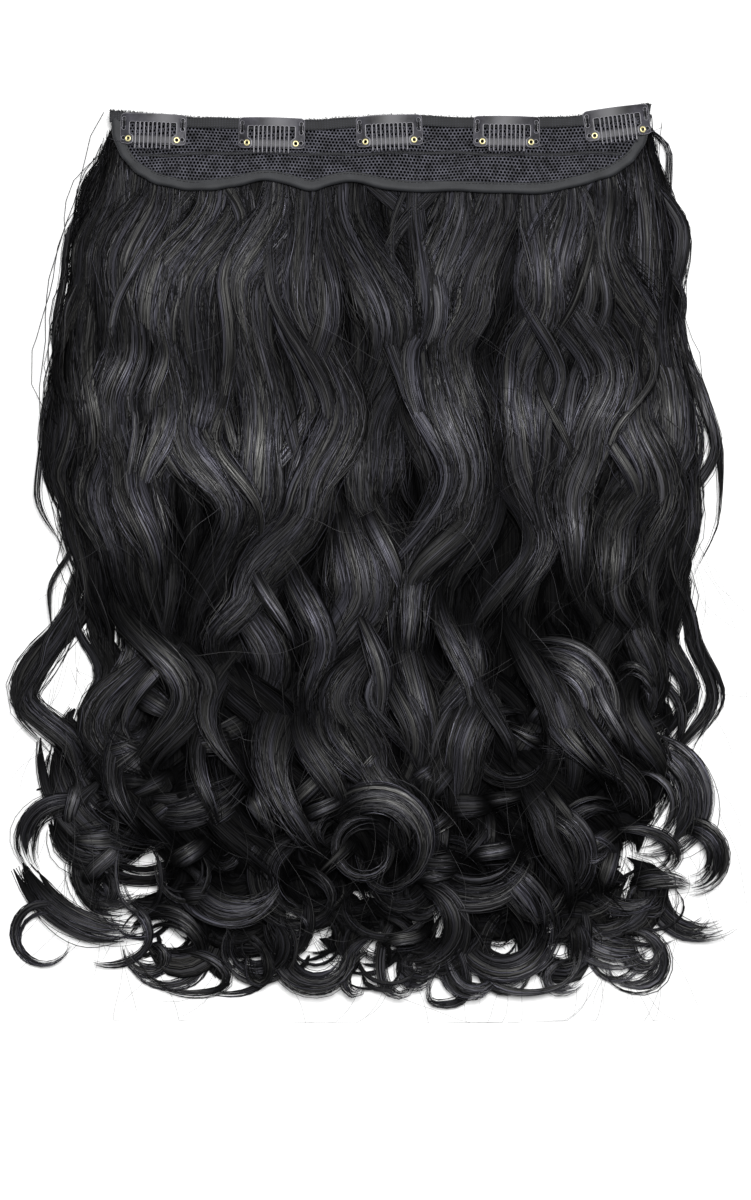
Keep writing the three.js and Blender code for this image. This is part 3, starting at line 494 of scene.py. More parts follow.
curtain = {"locks": 84, "strands": 18, "thickness": 4.5, "crest": 3.5}
waves = {"strandsPerWidth": 40, "thickness": 6, "crest": 4.5, "sides": 3, "beyond": 0.04, "low": 22}
ringlets = {
    "strandsPerWidth": 40, "thickness": 5.5, "loose": 60, "thin": 34, "fill": 50, "corkscrews": 40, "under": 40,
    "tone": 1.82, "looseTone": 2.08, "fillTone": 2.2, "corkscrewTone": 2.25,
}
coreBatch, deepBatch, lowCores = newBatch(), newBatch(), newBatch()
curtainRows = [lockRows[0]] + lockRows[2:18]


# The sides are drawn in under the ends of the band
def drawIn(x, down, width):
    margin = width * 0.42
    return np.clip(x * (1 - 0.03 * (1 - ease(down / 0.12))), column(edgeRows, down, 1) * halfHair + margin,
                   column(edgeRows, down, 2) * halfHair - margin)


# Locks between the traced ones: every other one is wide and lies low
def buildCurtain():
    strands, deepStrands = newBatch(), newBatch()
    for i in range(curtain["locks"]):
        r = (len(curtainRows) - 1) * (i + rng.uniform(-0.4, 0.4)) / (curtain["locks"] - 1)
        r = np.clip(r, 0, len(curtainRows) - 1.001)
        low, part = int(r), r - int(r)
        wideLow = i % 2 == 0
        down = np.arange(0.006, rng.uniform(0.56, 0.76), 0.006)
        (xa, sa), (xb, sb) = traceAt(curtainRows[low], down), traceAt(curtainRows[low + 1], down)
        drift = 0.032 * np.sin(2 * np.pi * (down / rng.uniform(0.2, 0.4) + rng.uniform())) * ease((down - 0.08) / 0.2)
        width = rng.uniform(18, 28) if wideLow else rng.uniform(8, 17)
        x = drawIn((xa * (1 - part) + xb * part + drift) * halfHair, down, width)
        swing = curtain["crest"] * (sa * (1 - part) + sb * part) * ease((down - 0.08) / 0.12)
        level = rng.uniform(0.5, 0.68) if wideLow else rng.uniform(0.66, 0.9)
        path = topPath(x, -down * hair["fall"], level, swing)
        addLock(deepBatch if wideLow else coreBatch, deepStrands if wideLow else strands, path, width,
                curtain["thickness"], curtain["strands"], lockLook["strandStep"], rootPart=0.8, tipDive=7,
                tone=0.72 if wideLow else 0.62)
    for side, which in ((-1, 1), (1, 2)):
        for k in range(3):
            down = np.arange(-0.006, 0.36 - 0.08 * k, 0.005)
            x = column(edgeRows, down, which) * halfHair - side * (4.5 + 6 * k + 1.5 * np.sin(down * 40 + k))
            addLock(deepBatch, deepStrands, topPath(x, -down * hair["fall"], 0.6, 0), 13, curtain["thickness"], 24,
                    lockLook["strandStep"], rootPart=0.5, tipDive=6, tone=1.3, blunt=True)
    makePiece("hair_curtain_low", deepStrands, paintedShadeFibre)
    makePiece("hair_curtain", strands, fibre)


buildCurtain()


# The traced locks, each with narrow ones at its sides
def buildWaves():
    strands, lowStrands = newBatch(), newBatch()
    for row in lockRows + sideRows:
        downs, acrosses, width, level = row
        rooted = downs[0] < 0.1
        down = np.arange(0.01 if rooted else downs[0] - 0.05, downs[-1] + waves["beyond"], 0.005)
        x, swing = traceAt(row, down)
        swing = waves["crest"] * swing * ease((down - 0.08) / 0.12)
        wide = width * hair["lockWidth"] * 0.86
        x = drawIn(x * halfHair, down, wide) if rooted else x * halfHair
        y = -down * hair["fall"]
        root = {"rootPart": 0.6, "rootDive": 0} if rooted else {"rootPart": 0.1, "rootDive": 12, "rootRun": 0.5}
        root.update(tipDive=9, tone=1.12)
        addLock(coreBatch, strands, topPath(x, y, level, swing), wide, waves["thickness"] * min(1, width + 0.2),
                int(8 + waves["strandsPerWidth"] * width), lockLook["strandStep"], **root)
        for k in range(waves["sides"] if rooted and width > 0.6 else 1):
            aside = wide * rng.uniform(0.3, 0.8) * rng.choice([-1, 1])
            weave = 1 + 0.5 * np.sin(2 * np.pi * (down / rng.uniform(0.3, 0.6) + rng.uniform()))
            aside = aside * weave * (ease((down - 0.03) / 0.1) if rooted else 1)
            part = slice(0, int(len(down) * rng.uniform(0.7, 1)))
            path = topPath((x + aside)[part], y[part], level * rng.uniform(0.88, 1.03),
                           (swing * rng.uniform(0.6, 1.1))[part])
            addLock(coreBatch, lowStrands, path, wide * rng.uniform(0.2, 0.45), waves["thickness"] * 0.5,
                    8, lockLook["strandStep"], **root)
    for i in range(waves["low"]):
        root = -0.68 + 1.4 * (i + rng.uniform(-0.4, 0.4)) / (waves["low"] - 1)
        down = np.arange(rng.uniform(0.42, 0.56), rng.uniform(0.72, 0.88), 0.005)
        turn = 2 * np.pi * (down / rng.uniform(0.18, 0.32) + rng.uniform())
        x = (root + rng.uniform(0.03, 0.09) * np.sin(turn) + rng.uniform(-0.3, 0.3) * (down - 0.6)) * halfHair
        path = topPath(x, -down * hair["fall"], rng.uniform(0.8, 1), waves["crest"] * np.cos(turn))
        width = rng.uniform(9, 24)
        addLock(lowCores, lowStrands, path, width, 5.5, int(8 + width), lockLook["strandStep"],
                rootPart=0.1, rootDive=13, rootRun=0.5, tipDive=10, tone=rng.uniform(0.6, 1.2), taper=0.5)
    makePiece("hair_waves_low", lowStrands, fibre)
    makePiece("hair_waves", strands, fibre)


buildWaves()


def addRinglet(strands, down, across, radius, start, sweep, width, fromLevel, toLevel, tone, uneven=0.0):
    shape = {"tighten": 0.2 + uneven * rng.uniform(0, 0.5), "squash": 1 + uneven * rng.uniform(-0.25, 0.25),
             "drift": uneven * rng.uniform(-12, 12, 2)}
    path = curlPath(down, across, radius, start, sweep, fromLevel, toLevel, **shape)
    look = {"rootPart": 0.35, "rootDive": 5, "tipPart": 0.35, "tone": tone, "coreEnd": 0.85, "corePart": 0.72}
    addLock(coreBatch, strands, path, width * 0.7, ringlets["thickness"] * min(1, width / 30 + 0.25),
            int(6 + ringlets["strandsPerWidth"] * width / 30), lockLook["curlStep"], **look)
    for k in range(2 if width > 10 else 1):
        beside = radius + width * rng.uniform(0.2, 0.4) * (1 if k else -1)
        path = curlPath(down + rng.uniform(-0.006, 0.006), across + rng.uniform(-0.01, 0.01), max(6, beside),
                        start + rng.uniform(-6, 6), sweep * rng.uniform(0.85, 1.12), fromLevel * rng.uniform(0.9, 1),
                        toLevel * rng.uniform(0.9, 1), **shape)
        addLock(coreBatch, strands, path, width * rng.uniform(0.25, 0.4), ringlets["thickness"] * 0.5,
                5, lockLook["curlStep"], **look)


# Curls in three layers: swinging locks below, loose ringlets, and the traced ringlets on top
def buildRinglets():
    strands = newBatch()
    for i in range(ringlets["under"]):
        root = -0.74 + 1.5 * (i + rng.uniform(-0.5, 0.5)) / (ringlets["under"] - 1)
        end = rng.uniform(0.84, 0.95) - 0.1 * max(0, abs(root) - 0.5)
        down = np.arange(rng.uniform(0.44, 0.6), end, 0.005)
        turn = 2 * np.pi * (down / rng.uniform(0.13, 0.2) + rng.uniform())
        x = (root * 0.94 + 0.08 * ease((down - 0.45) / 0.2) * np.sin(turn)) * halfHair
        path = topPath(x, -down * hair["fall"], rng.uniform(0.45, 0.7), 3 * np.cos(turn))
        addLock(deepBatch, strands, path, rng.uniform(9, 18), 5, 14, lockLook["strandStep"],
                rootPart=0.15, rootDive=5)
    for i in range(ringlets["fill"]):
        down = rng.uniform(0.78, 0.94)
        half = 0.8 - 0.3 * ease((down - 0.85) / 0.1)
        path = curlPath(down, rng.uniform(-half, half), rng.uniform(12, 20), rng.uniform(0, 360),
                        rng.choice([-1, 1]) * rng.uniform(150, 300), 0.45, 0.35)
        addLock(deepBatch, strands, path, rng.uniform(12, 20), 5, 12, lockLook["strandStep"], rootPart=0.3,
                tone=ringlets["fillTone"])
    makePiece("hair_under", strands, paintedShadeFibre)
    strands = newBatch()
    for down, across, radius, start, sweep, width, fromLevel, toLevel in ringletRows:
        addRinglet(strands, down, across, radius * hair["curlRadius"], start, sweep, width * hair["lockWidth"],
                   fromLevel, toLevel, ringlets["tone"])
    for i in range(ringlets["loose"]):
        radius = rng.uniform(8, 19)
        down = 0.97 - 0.33 * rng.uniform() ** 1.5
        half = 0.92 - 0.25 * ease((down - 0.88) / 0.1) - radius / halfHair
        level = rng.uniform(0.5, 0.9)
        across = rng.uniform(-half, half)
        side = np.sign(across + rng.uniform(-0.2, 0.2))
        start, sweep = rng.uniform(0, 360), rng.choice([-1, 1]) * rng.uniform(170, 350)
        if down > 0.84:
            turned = rng.uniform(-10, 60)
            start, sweep = 90 + side * turned, side * (rng.uniform(230, 310) - turned)
        addRinglet(strands, down, across, radius, start, sweep, rng.uniform(4, 12), level, level - 0.2,
                   ringlets["looseTone"], uneven=1)
    for i in range(ringlets["thin"]):
        across = rng.uniform(-0.75, 0.8)
        side = np.sign(across)
        radius = rng.uniform(8, 18)
        path = curlPath(0.965 - 0.05 * abs(across) - radius / hair["fall"] + rng.uniform(-0.02, 0.02), across, radius,
                        90 + side * rng.uniform(0, 90), side * rng.uniform(130, 240), 0.6, 0.3,
                        squash=rng.uniform(0.95, 1.3))
        addLock(lowCores, strands, path, rng.uniform(1, 2.6), 1.2, 9, lockLook["curlStep"], rootPart=0.3, rootDive=4,
                tone=1.1)
    makePiece("hair_ringlets", strands, fibre)
    strands = newBatch()
    for i in range(ringlets["corkscrews"]):
        down = rng.uniform(0.64, 0.92)
        half = 0.82 - 0.2 * ease((down - 0.85) / 0.1)
        level = rng.uniform(0.7, 1)
        path = corkscrewPath(down, rng.uniform(-half, half), rng.uniform(7, 13), rng.uniform(-60, 60),
                             rng.uniform(24, 38), rng.uniform(1.3, 2.2), level)
        width = rng.uniform(8, 14)
        addLock(lowCores, strands, path, width, 4, int(width * 1.1), lockLook["curlStep"],
                rootPart=0.3, rootDive=5, tipPart=0.15, tipDive=3, tone=ringlets["corkscrewTone"], taper=0.35)
    makePiece("hair_corkscrews", strands, fibre)


buildRinglets()

# Wisps along the sides: bends down the fall and across
wispRows = [
    ([0, 0.035, 0.09, 0.14], [0.74, 0.805, 0.8, 0.77]), ([0.15, 0.205, 0.26, 0.32], [0.78, 0.845, 0.825, 0.84]),
    ([0.28, 0.36, 0.385, 0.43], [0.83, 0.89, 0.885, 0.86]), ([0.04, 0.16, 0.22, 0.3], [-0.76, -0.82, -0.87, -0.88]),
    ([0.26, 0.34, 0.42, 0.5], [-0.88, -0.93, -0.945, -0.86]), ([0.4, 0.47, 0.53, 0.6], [-0.86, -0.84, -0.91, -0.9]),
    ([0.5, 0.58, 0.65, 0.72], [0.84, 0.88, 0.93, 0.86]), ([0.5, 0.6, 0.66, 0.72], [-0.8, -0.93, -1, -0.9]),
]


def buildWisps():
    strands = newBatch()
    for row in wispRows:
        down = np.arange(row[0][0], row[0][-1], 0.005)
        across, swing = traceAt(row, down)
        path = topPath(across * halfHair, -down * hair["fall"], 0.7, 1.5 * swing)
        addLock(lowCores, strands, path, 2.8, 1.1, 12, lockLook["curlStep"], rootPart=0.3, rootDive=4, tipDive=2,
                tone=0.9, corePart=0.2)
    makePiece("hair_wisps", strands, fibre)


buildWisps()

# Single hairs that stray over the locks and past the edges
flyaways = {"over": 280, "edge": 90, "radius": 0.085}


def buildFlyaways():
    batch = newBatch()
    for i in range(flyaways["over"] + flyaways["edge"]):
        atEdge = i >= flyaways["over"]
        down = rng.uniform(0.12, 0.97) if not atEdge else rng.uniform(0.25, 0.95)
        side = rng.choice([-1, 1])
        half = np.interp(down, [0.1, 0.5, 0.8, 0.97], [0.78, 0.86, 0.9, 0.6])
        across = side * half * rng.uniform(0.93, 1.04) if atEdge else rng.uniform(-half, half)
        points, length = 12, rng.uniform(20, 70)
        t = np.linspace(0, 1, points)
        lean, bend = rng.normal(0, 18 if atEdge else 32), rng.normal(0, 40)
        heading = np.radians(lean + bend * t + 12 * np.sin(t * rng.uniform(3, 9)))
        step = length / (points - 1)
        x = across * halfHair + np.cumsum(step * np.sin(heading))
        y = -down * hair["fall"] - np.cumsum(step * np.cos(heading))
        x = np.clip(x, -halfHair - 2, halfHair + 2)
        y = np.maximum(y, -hair["fall"] - 4)
        z = np.maximum(hairTop(x, y) + rng.uniform(0.5, 3) + 2 * np.sin(t * 3), 0.5)
        radius = flyaways["radius"] * np.minimum(1, 0.4 + 3 * (1 - t))[None]
        tone = rng.uniform(0.6, 1.8)
        addTubes(batch, np.stack([x, y, z], axis=-1)[None], radius, radius, ringOf(3), radius * 0 + i,
                 (length * t)[None], radius * 0 + tone)
    makePiece("hair_flyaways", batch, strayFibre)


buildFlyaways()
makePiece("hair_locks", coreBatch, fibre, "hair")
makePiece("hair_locks_low", deepBatch, paintedShadeFibre)
makePiece("hair_locks_curled", lowCores, fibre)

# Combs: place, rise and turn
combRows = [(-0.828, 0.16, -2.5), (-0.393, 0.22, -1.4), (0.038, 0.19, 2.5), (0.468, 0.2, -0.7), (0.873, 0.07, 7.8)]
topPoints = np.array([(r[0] * halfBase, r[1] * base["drop"]) for r in outlineRows])
lowPoints = np.array([(r[0] * halfBase, -r[2] * base["drop"]) for r in outlineRows])
lowPoints[[0, -1], 1] += 3.2


def curveAt(points, t):
    place = np.clip(t, 0, 1) * (len(points) - 1)
    i = np.minimum(place.astype(int), len(points) - 2)
    w = (place - i)[:, None]
    p0, p1 = points[np.maximum(i - 1, 0)], points[i]
    p2, p3 = points[i + 1], points[np.minimum(i + 2, len(points) - 1)]
    v0, v1 = (p2 - p0) / 2, (p3 - p1) / 2
    return (2 * p1 - 2 * p2 + v0 + v1) * w ** 3 + (-3 * p1 + 3 * p2 - 2 * v0 - v1) * w ** 2 + v0 * w + p1


def insetCurve(points, t, inset):
    run = np.gradient(curveAt(points, t), axis=0)
    run /= np.linalg.norm(run, axis=1, keepdims=True)
    way = -1 if points is topPoints else 1
    return curveAt(points, t) + way * np.asarray(inset)[..., None] * np.stack([-run[:, 1], run[:, 0]], axis=-1)


def panelHeight(x):
    return bedHeight(x) + base["fitGap"] + base["net"] / 2 + base["fitGap"] + base["tape"]


# Cloth: a weave in millimetres, worn in patches
def clothMaterial(name, colour, roughness, across, along, depth, contrast):
    material, tree, shader = newMaterial(name, {"Roughness": roughness})
    uv = socket(tree, "UVMap", "UV", {}, uv_map="UVMap")
    weave = multiply(tree, *(
        socket(tree, "TexWave", "Fac", {"Vector": uv, "Scale": 0.314 / size, "Distortion": 1.2, "Detail": 2},
               bands_direction=way) for size, way in ((across, "X"), (along, "Y"))))
    tone = socket(tree, "MapRange", "Result", {"Value": weave, "To Min": 1 - contrast})
    place = socket(tree, "TexCoord", "Object", {})
    patch = socket(tree, "TexNoise", "Fac", {"Vector": place, "Scale": 1 / (6 * mm), "Detail": 3})
    worn = socket(tree, "MapRange", "Result", {"Value": patch, "From Min": 0.35, "From Max": 0.65, "To Min": 0.6})
    feed(shader, {
        "Base Color": mixColour(tree, multiply(tree, tone, worn), (0, 0, 0, 1), (*colour, 1)),
        "Normal": socket(tree, "Bump", "Normal", {"Height": weave, "Strength": 0.5, "Distance": depth * mm}),
    })
    return material


# Colour, roughness and height that wander over a surface
def surfaceMaterial(name, colour, roughness, grain, contrast, depth, metallic=0.0, gloss=0.5):
    material, tree, shader = newMaterial(name, {"Metallic": metallic, "Specular IOR Level": gloss})
    place = socket(tree, "TexCoord", "Object", {})
    noise = socket(tree, "TexNoise", "Fac", {
        "Vector": place, "Scale": 1 / (grain * mm), "Detail": 4, "Roughness": 0.65})
    spread = socket(tree, "MapRange", "Result", {"Value": noise, "From Min": 0.35, "From Max": 0.65})
    low, high = ((*(min(1, c * (1 + way * contrast)) for c in colour), 1) for way in (-1, 1))
    rough = {"Value": noise, "To Min": roughness * 0.85, "To Max": min(1, roughness * 1.15)}
    feed(shader, {
        "Base Color": mixColour(tree, spread, low, high),
        "Roughness": socket(tree, "MapRange", "Result", rough),
        "Normal": socket(tree, "Bump", "Normal", {"Height": noise, "Strength": 0.4, "Distance": depth * mm}),
    })
    return material


finishes = {
    "net": surfaceMaterial("netBlack", (0.049, 0.049, 0.0605), 0.7, 4, 0.65, 0.1, gloss=0.2),
    "band": clothMaterial("bandGrey", (0.033, 0.0345, 0.043), 0.75, 0.9, 1.3, 0.3, 0.8),
    "binding": clothMaterial("bindingGrey", (0.024, 0.026, 0.031), 0.65, 0.45, 0.45, 0.12, 0.4),
    "thread": surfaceMaterial("threadBlack", (0.011, 0.011, 0.013), 0.5, 0.3, 0.4, 0.05),
    # The comb is black with wide lighter patches: a painted reflection
    "comb": surfaceMaterial("combBlackPaintedReflection", (0.034, 0.033, 0.04), 0.45, 12, 0.75, 0.02, gloss=0.3),
    # The bevelled rims are much lighter: a painted highlight
    "rimHighlight": surfaceMaterial("combRimPaintedHighlight", (0.24, 0.235, 0.26), 0.4, 2, 0.25, 0.02),
    "grip": surfaceMaterial("gripGrey", (0.022, 0.0215, 0.026), 0.55, 1.2, 0.25, 0.05),
    "brass": surfaceMaterial("brass", (0.95, 0.84, 0.46), 0.42, 1.5, 0.1, 0.02, metallic=0.7),
}

netLook = {"pitch": 1.7, "hole": 0.68, "thickness": 0.5, "pucker": 0.5, "shift": 0.6}


# A honeycomb net: hexagons with a hole each, and neighbours share their edges
def buildNet():
    t = np.linspace(0, 1, 400)
    high, low = insetCurve(topPoints, t, 1.0), insetCurve(lowPoints, t, 1.6)
    pitch = netLook["pitch"]
    angle = np.radians(np.arange(6) * 60 + 30)
    corner = np.stack([np.cos(angle), np.sin(angle)], axis=-1)
    keys, co, faces = {}, [], []

    def vertex(x, y):
        key = (round(x * 50), round(y * 50))
        if key not in keys:
            keys[key] = len(co)
            co.append((x, y, 0))
        return keys[key]

    for row in range(-8, 30):
        for col in range(-86, 87):
            x, y = (col + 0.5 * (row % 2)) * pitch, -row * pitch * 0.75 ** 0.5
            if not np.interp(x, low[:, 0], low[:, 1]) < y < np.interp(x, high[:, 0], high[:, 1]):
                continue
            if not low[:, 0].min() + 2 < x < low[:, 0].max() - 2:
                continue
            outer = [vertex(x + dx, y + dy) for dx, dy in corner * pitch / 3 ** 0.5]
            inner = [vertex(x + dx, y + dy) for dx, dy in corner * netLook["hole"]]
            faces += [(outer[k], outer[(k + 1) % 6], inner[(k + 1) % 6], inner[k]) for k in range(6)]
    co = np.array(co)
    x, y = co[:, 0].copy(), co[:, 1].copy()
    co[:, 0] += netLook["shift"] * np.sin(y / 5 + np.sin(x / 17)) * np.sin(x / 11)
    co[:, 1] += netLook["shift"] * np.sin(x / 8 + np.sin(y / 7) + 1.3)
    pucker = np.sin((x + y) / 3.1 + 2 * np.sin(x / 13)) * np.sin((x - 2 * y) / 9)
    co[:, 2] = panelHeight(x) + netLook["pucker"] * pucker
    mesh = bpy.data.meshes.new("net_honeycomb")
    mesh.from_pydata(((co + [placing["x"], placing["y"], 0]) * mm).tolist(), [], faces)
    mesh.materials.append(finishes["net"])
    net = linked("net_honeycomb", mesh)
    pickOnly(net)
    walls = net.modifiers.new("walls", "SOLIDIFY")
    walls.thickness, walls.offset = netLook["thickness"] * mm, 0
    bpy.ops.object.modifier_apply(modifier=walls.name)
    enrol(net, "net", "base_net")
    print("net triangles", sum(len(f.vertices) - 2 for f in net.data.polygons))
    return net, len(faces) / 6 * 0.75 ** 0.5 * pitch ** 2 * mm ** 2


net, netArea = buildNet()


# A tape along a plan curve; section rows are inset and height over the panel's middle
def tapeAlong(name, points, section, steps, finish, replaced, ripple):
    t = np.linspace(0, 1, steps)
    wave = ripple * (np.sin(t * 90) * 0.6 + np.sin(t * 41 + 1) * 0.4)
    waver = ripple * (np.sin(t * 47 + 2) + 0.6 * np.sin(t * 118))
    rings = []
    for inset, lift in section:
        plan = insetCurve(points, t, inset + waver * (0.4 if inset > 2 else 1))
        z = panelHeight(plan[:, 0]) + lift * (1 + 0.25 * wave) + 0.5 * wave * (lift > 0)
        rings.append(np.stack([plan[:, 0], plan[:, 1], z], axis=-1))
    co = np.stack(rings, axis=1)[None]
    gone = lengthAlong(co[0, :, 0])
    uv = np.stack([np.broadcast_to(np.array([s[0] for s in section]), co.shape[1:3]),
                   np.broadcast_to(gone[:, None], co.shape[1:3])], axis=-1)
    batch = newBatch()
    way = 1 if points is topPoints else -1
    addRings(batch, co[:, :, ::way], uv[:, ::way], 1)
    return makePiece(name, batch, finishes[finish], replaced, slotName="tape")


def flatTape(width, under, over, columns=9):
    place = np.linspace(0, 1, columns)
    crown = over - 0.25 * (2 * np.abs(place - 0.5)) ** 4
    return [(w * width, under) for w in place] + [(w * width, c) for w, c in zip(place[::-1], crown[::-1])]


# A folded tape: a fat round fold on the outside and a thinner edge inside
def foldedTape(width, half):
    angle = np.linspace(-math.pi / 2, math.pi / 2, 9)
    fold = [(half - half * math.cos(v), half * math.sin(v) * 0.95) for v in angle]
    top = [(p, half * 0.95 - 0.35 * ease((p - half) / (width - half))) for p in np.linspace(half + 0.5, width, 7)]
    below = [(p, -half * 0.9) for p in np.linspace(width, half + 0.5, 4)]
    return fold + top + [(width + 0.1, 0.5), (width + 0.1, -0.5)] + below


tapeWidth = 5.2
band = tapeAlong("band_woven", topPoints, flatTape(tapeWidth, 0.8, 1.8), 220, "band", "top_band", 0.15)
binding = tapeAlong("binding_folded", lowPoints, foldedTape(tapeWidth, 1.75), 300, "binding", "lower_binding", 0.35)

seamLine = {"from": -117, "to": 118, "y": -17.6, "sway": 0.5, "half": 0.7}


def seamMiddle(x):
    return seamLine["y"] + seamLine["sway"] * np.sin(x / 14)


def buildSeam():
    batch = newBatch()
    x = np.linspace(seamLine["from"], seamLine["to"], 160)
    y = seamMiddle(x) + 0.35 * np.sin(x / 5)
    place = np.linspace(-seamLine["half"], seamLine["half"], 5)
    floorHeight, topHeight = panelHeight(x) + 0.3, panelHeight(x) + 1.1 + 0.15 * np.sin(x * 1.9)
    lower = [np.stack([x, y + p, floorHeight], axis=-1) for p in place]
    upper = [np.stack([x, y + p, topHeight - 0.3 * abs(p)], axis=-1) for p in place[::-1]]
    co = np.stack(lower + upper, axis=1)[None]
    addRings(batch, co, co[..., 1::-1], 1)
    return makePiece("seam_tape", batch, finishes["band"], "net_seam", slotName="tape")


seam = buildSeam()


# Stitches: short tubes that dip at both ends
def buildStitches():
    batch = newBatch()

    def stitchLine(plan, lift, long, gap):
        gone = lengthAlong(plan)
        starts = np.arange(1, gone[-1] - long, long + gap)
        at = starts[:, None] + np.linspace(0, long, 5)
        x, y = np.interp(at, gone, plan[:, 0]), np.interp(at, gone, plan[:, 1])
        z = panelHeight(x) + lift + np.array([-0.22, 0.05, 0.12, 0.05, -0.22])
        radius = np.full(at.shape, 0.17)
        addTubes(batch, np.stack([x, y, z], axis=-1), radius, radius, ringOf(5), at * 0, at, radius * 0 + 1)

    rows = ((lowPoints, 4.3, 1.42, 2.4), (topPoints, 4.5, 1.75, 2.2), (topPoints, 0.8, 1.72, 2.2))
    for points, inset, lift, long in rows:
        short = 0.012 if points is lowPoints else 0.01
        stitchLine(insetCurve(points, np.linspace(short, 1 - short, 700), inset), lift, long, 0.9)
    x = np.linspace(seamLine["from"] + 1, seamLine["to"] - 1, 500)
    stitchLine(np.stack([x, seamMiddle(x) + 0.9 * np.sin(x * 1.6)], axis=-1), 1.0, 1.6, 0.5)
    return makePiece("stitches", batch, finishes["thread"], slotName="tape")


stitches = buildStitches()


# Short fibres along the cut edge of the band
def buildFuzz():
    batch = newBatch()
    t = rng.uniform(0.005, 0.995, 900)
    foot = insetCurve(topPoints, np.sort(t), 0.1)
    for x, y in foot:
        way = rng.normal(0, 1.1)
        out = np.linspace(0, rng.uniform(0.4, 1.3), 4)
        px = x + out * math.sin(way)
        py = y + out * abs(math.cos(way)) + 0.15 * np.sin(out * 3)
        pz = panelHeight(px) + rng.uniform(0.9, 1.7) + 0.3 * out
        radius = np.full((1, 4), 0.09)
        addTubes(batch, np.stack([px, py, pz], axis=-1)[None], radius, radius, ringOf(3), radius * 0, out[None],
                 radius * 0 + 1)
    makePiece("band_fuzz", batch, finishes["band"], slotName="tape")


buildFuzz()

# Snap combs, drawn in their own frame and set on the base
comb = {
    "half": 16, "top": 7.3, "rise": 3, "thick": 0.6, "windowHalf": 11.3, "windowTop": 3.1, "teeth": 9, "pitch": 2.1,
    "toothWide": 0.72, "toothEnd": -9.8, "ball": 0.5, "eyeletX": 11.8, "eyeletY": -5.1, "slotX": 14.3, "slotY": 2.4,
    "slotWide": 1.7, "slotApart": 2.2, "hole": 0.95, "ring": 1.15, "ringWire": 0.42, "edge": 0.22,
    "barWide": 2.4, "barThick": 0.5, "barEdge": 0.12, "sleeveWide": 4.5, "sleeveHalf": 9.5, "thread": 0.2,
}


def bow(x):
    return comb["rise"] * np.maximum(0, 1 - (x / comb["half"]) ** 2)


def setOnBase(co, row):
    x0, y0 = row[0] * halfBase, -row[1] * base["drop"]
    turn, tilt = math.radians(row[2]), math.atan(2 * base["endSag"] * x0 / halfBase ** 2)
    x = co[:, 0] * math.cos(turn) - co[:, 1] * math.sin(turn)
    y = co[:, 0] * math.sin(turn) + co[:, 1] * math.cos(turn)
    seat = panelHeight(x0) + base["net"] / 2 + base["fitGap"] * 2 + base["tape"]
    out = np.stack([x * math.cos(tilt) + co[:, 2] * math.sin(tilt) + x0, y + y0,
                    co[:, 2] * math.cos(tilt) - x * math.sin(tilt) + seat], axis=-1)
    return out + [placing["x"], placing["y"], 0]


# Points round a corner
def rounded(points, steps=5):
    out = []
    for i, (x, y, r) in enumerate(points):
        a, b = points[i - 1], points[(i + 1) % len(points)]
        if not r:
            out.append((x, y))
            continue
        u, v = np.array([a[0] - x, a[1] - y]), np.array([b[0] - x, b[1] - y])
        u, v = u / np.linalg.norm(u), v / np.linalg.norm(v)
        for t in np.linspace(0, 1, steps):
            out.append(tuple(np.array([x, y]) + u * r * (1 - t) ** 2 + v * r * t ** 2))
    return out


def circle(x, y, radius, count=20):
    angle = np.linspace(0, 2 * math.pi, count, endpoint=False)
    return [(x + radius * math.cos(v), y + radius * math.sin(v)) for v in angle]


# Two round holes joined by a narrower slot
def doubleHole(x, y, radius, apart):
    upper, lower = np.radians(np.linspace(-50, 230, 13)), np.radians(np.linspace(130, 410, 13))
    return [(x + radius * math.cos(v), y + apart + radius * math.sin(v)) for v in upper] \
        + [(x + radius * math.cos(v), y - apart + radius * math.sin(v)) for v in lower]


# A flat shape with holes, made of curves, cut across so that it can bow
def sheetShape(name, outlines, thick, edge):
    data = bpy.data.curves.new(name, "CURVE")
    data.dimensions = "2D"
    data.fill_mode = "BOTH"
    data.extrude = (thick / 2 - edge) * mm
    data.bevel_depth = edge * mm
    data.bevel_resolution = 1
    data.offset = -edge * mm
    for points in outlines:
        spline = data.splines.new("POLY")
        spline.points.add(len(points) - 1)
        for point, (x, y) in zip(spline.points, points):
            point.co = (x * mm, y * mm, 0, 1)
        spline.use_cyclic_u = True
    pickOnly(linked(name, data))
    bpy.ops.object.convert(target="MESH")
    bpy.ops.object.mode_set(mode="EDIT")
    bpy.ops.mesh.select_all(action="SELECT")
    bpy.ops.mesh.remove_doubles(threshold=0.00002)
    for x in np.linspace(-15, 15, 21):
        bpy.ops.mesh.select_all(action="SELECT")
        bpy.ops.mesh.bisect(plane_co=(x * mm, 0, 0), plane_no=(1, 0, 0))
    bpy.ops.mesh.select_all(action="SELECT")
    bpy.ops.mesh.normals_make_consistent(inside=False)
    bpy.ops.object.mode_set(mode="OBJECT")
    return bpy.context.object


def meshCo(piece):
    co = np.empty(len(piece.data.vertices) * 3)
    piece.data.vertices.foreach_get("co", co)
    return co.reshape(-1, 3) / mm


def setCo(mesh, co):
    mesh.vertices.foreach_set("co", (co * mm).ravel())


# Five copies of a modelled piece, each with its own mesh
def copyToCombs(model, name, node, finishNames, slotName):
    co = meshCo(model)
    marks = np.empty(len(model.data.polygons), dtype=np.int32)
    model.data.polygons.foreach_get("material_index", marks)
    for n, row in enumerate(combRows, start=1):
        mesh = model.data.copy()
        setCo(mesh, setOnBase(co, row))
        mesh.materials.clear()
        for finish in finishNames:
            mesh.materials.append(finishes[finish])
        mesh.polygons.foreach_set("material_index", marks)
        mesh.update()
        piece = linked(f"{name}_{n}", mesh)
        pickOnly(piece)
        bpy.ops.object.shade_smooth_by_angle(angle=math.radians(40))
        enrol(piece, slotName, node.format(n))
    bpy.data.objects.remove(model)


